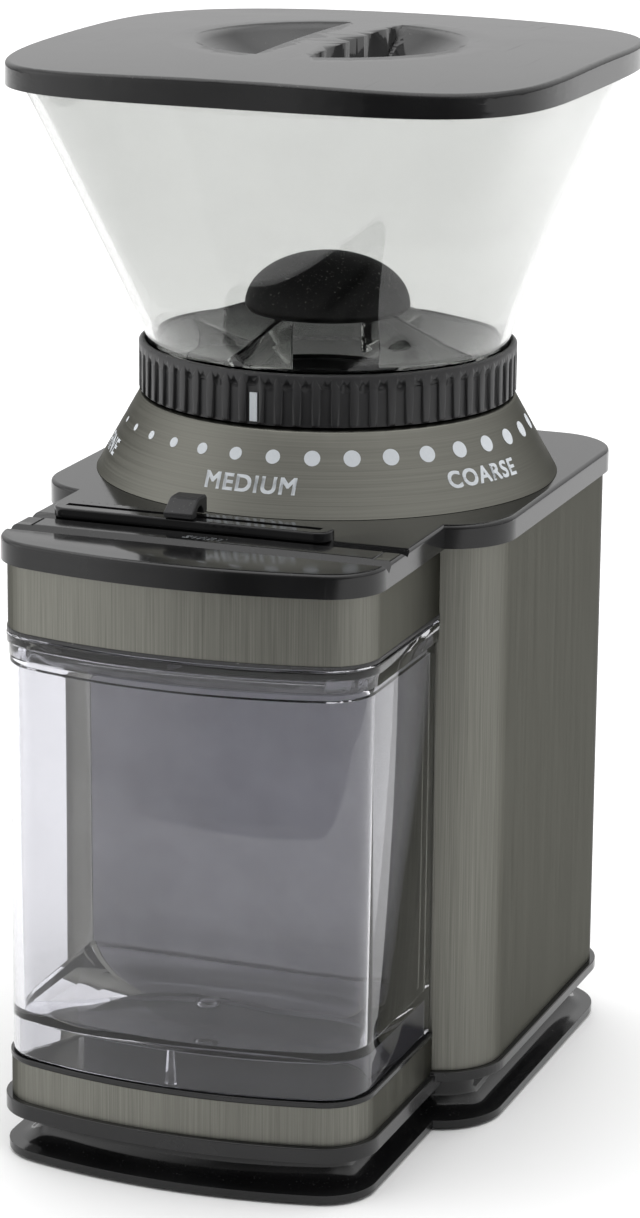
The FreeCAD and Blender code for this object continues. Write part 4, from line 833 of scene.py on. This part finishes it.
class GRINDER_OT_dial(bpy.types.Operator):
    """The turned dial cone with its printed dots and words"""
    bl_idname = "grinder.dial"
    bl_label = "Dial"

    def execute(self, context):
        settings = context.scene.grinder_dial
        refined("dial_cone", "dial_ring", "turned_gunmetal", 40)
        foot = (CONE_HIGH.x - CONE_LOW.x) / 2
        slope = (foot - CONE_TOP_RADIUS) / (CONE_HIGH.z - CONE_LOW.z)
        lean = math.atan(slope)

        def on_cone(angle, height, lift):
            z = DECK + height
            radius = foot - slope * (z - CONE_LOW.z) + lift
            return Vector((radius * math.cos(angle), AXIS_Y + radius * math.sin(angle), z))

        def wrap(vertex, angle, height):
            """Lays a flat drawing, in x across and y up, round the cone."""
            along, rise, lift = vertex.co
            z = height + rise * math.cos(lean)
            radius = foot - slope * (DECK + z - CONE_LOW.z)
            vertex.co = on_cone(angle + along / radius, z, lift)

        growth = settings.dot_large - settings.dot_small
        bm = bmesh.new()
        for index in range(settings.dot_count):
            share = index / (settings.dot_count - 1)
            size = settings.dot_small + growth * min(1.0, share * 1.75)
            made = bmesh.ops.create_circle(bm, cap_ends=True, segments=28, radius=size)
            face = made["verts"][0].link_faces[0]
            raised = bmesh.ops.extrude_face_region(bm, geom=[face])
            lifted = [item for item in raised["geom"] if isinstance(item, bmesh.types.BMVert)]
            bmesh.ops.translate(bm, verts=lifted, vec=(0, 0, INK))
            bmesh.ops.translate(bm, verts=made["verts"], vec=(0, 0, -INK))
            angle = settings.dot_first_angle + settings.dot_step * index
            for vertex in set(made["verts"]) | set(lifted):
                wrap(vertex, angle, settings.dot_height)
        bmesh.ops.recalc_face_normals(bm, faces=bm.faces)
        dots = object_from(bm, "grind_marks", math.radians(40))
        settle(dots, "housing", "white_ink")
        for word, degrees in WORDS:
            bm = text_mesh(word, settings.word_height, INK)
            for vertex in bm.verts:
                wrap(vertex, math.radians(degrees), settings.word_drop)
            printed = object_from(bm, "dial_word_" + word.lower(), math.radians(40))
            settle(printed, "housing", "white_ink")
        return {"FINISHED"}


class GRINDER_OT_hopper(bpy.types.Operator):
    """The clear hopper, its ribbed collar, dome and lid"""
    bl_idname = "grinder.hopper"
    bl_label = "Hopper"

    def execute(self, context):
        hopper_tub()
        hopper_floor()
        refined("hopper_collar", "ribbed_collar", "satin_black", 34)
        refined("bean_dome", "hopper_dome", "dome_black", 40)
        refined("hopper_lid", "lid", "gloss_black", 30)
        refined("index_mark", "pointer_line", "white_ink", 30)
        return {"FINISHED"}


class GRINDER_OT_deck(bpy.types.Operator):
    """Cup selector rail, its knob, the start bar and its word"""
    bl_idname = "grinder.deck"
    bl_label = "Deck controls"

    def execute(self, context):
        edge = context.scene.grinder_casing.edge_radius
        refined("selector_rail", "cup_rail", "gloss_black", 30, edge)
        refined("cup_knob", "cup_slider", "satin_black", 30, edge)
        refined("start_bar", "start_key", "gloss_black", 30, edge / 2)
        bm = text_mesh("START", 2.3 * MM, 0.03 * MM, 0.35, 1.12, 0.02)
        middle = (START_LOW.y + START_HIGH.y) / 2
        bmesh.ops.translate(bm, verts=bm.verts, vec=(-0.6 * MM, middle - 0.8 * MM, START_HIGH.z - 0.01 * MM))
        printed = object_from(bm, "start_word", math.radians(40))
        settle(printed, "start_bar", "white_ink")
        return {"FINISHED"}


class GRINDER_OT_chamber(bpy.types.Operator):
    """The smoky grounds chamber and its lid"""
    bl_idname = "grinder.chamber"
    bl_label = "Grounds chamber"

    def execute(self, context):
        chamber_bin()
        chamber_marks()
        refined("chamber_lid", "bin_lid", "smoke_plastic", 30)
        return {"FINISHED"}


class GRINDER_OT_studio(bpy.types.Operator):
    """Pale floor, the bright surround and the camera"""
    bl_idname = "grinder.studio"
    bl_label = "Studio"

    def execute(self, context):
        settings = context.scene.grinder_studio
        make_floor()
        make_lights()
        make_camera(settings)
        return {"FINISHED"}


class GRINDER_PT_panel(bpy.types.Panel):
    """Buttons and settings for the grinder's pieces"""
    bl_label = "Burr grinder"
    bl_idname = "GRINDER_PT_panel"
    bl_space_type = "VIEW_3D"
    bl_region_type = "UI"
    bl_category = "Grinder"

    def draw(self, context):
        layout = self.layout
        for operator in OPERATORS:
            layout.operator(operator.bl_idname)
        for group in ("grinder_casing", "grinder_dial", "grinder_clear", "grinder_studio"):
            settings = getattr(context.scene, group)
            column = layout.column()
            for label in settings.__annotations__:
                column.prop(settings, label)


OPERATORS = (GRINDER_OT_finishes, GRINDER_OT_casing, GRINDER_OT_dial, GRINDER_OT_hopper, GRINDER_OT_deck,
             GRINDER_OT_chamber, GRINDER_OT_studio)
SETTINGS = {"grinder_casing": CasingSettings, "grinder_dial": DialSettings, "grinder_clear": ClearSettings,
            "grinder_studio": StudioSettings}


def register():
    for name, group in SETTINGS.items():
        bpy.utils.register_class(group)
        setattr(bpy.types.Scene, name, bpy.props.PointerProperty(type=group))
    for operator in OPERATORS:
        bpy.utils.register_class(operator)
    bpy.utils.register_class(GRINDER_PT_panel)


def unregister():
    bpy.utils.unregister_class(GRINDER_PT_panel)
    for operator in reversed(OPERATORS):
        bpy.utils.unregister_class(operator)
    for name, group in SETTINGS.items():
        delattr(bpy.types.Scene, name)
        bpy.utils.unregister_class(group)


def main():
    register()
    bpy.ops.grinder.finishes()
    bpy.ops.grinder.casing()
    bpy.ops.grinder.dial()
    bpy.ops.grinder.hopper()
    bpy.ops.grinder.deck()
    bpy.ops.grinder.chamber()
    bpy.ops.grinder.studio()
    bpy.context.view_layer.update()


if __name__ == "__main__":
    main()
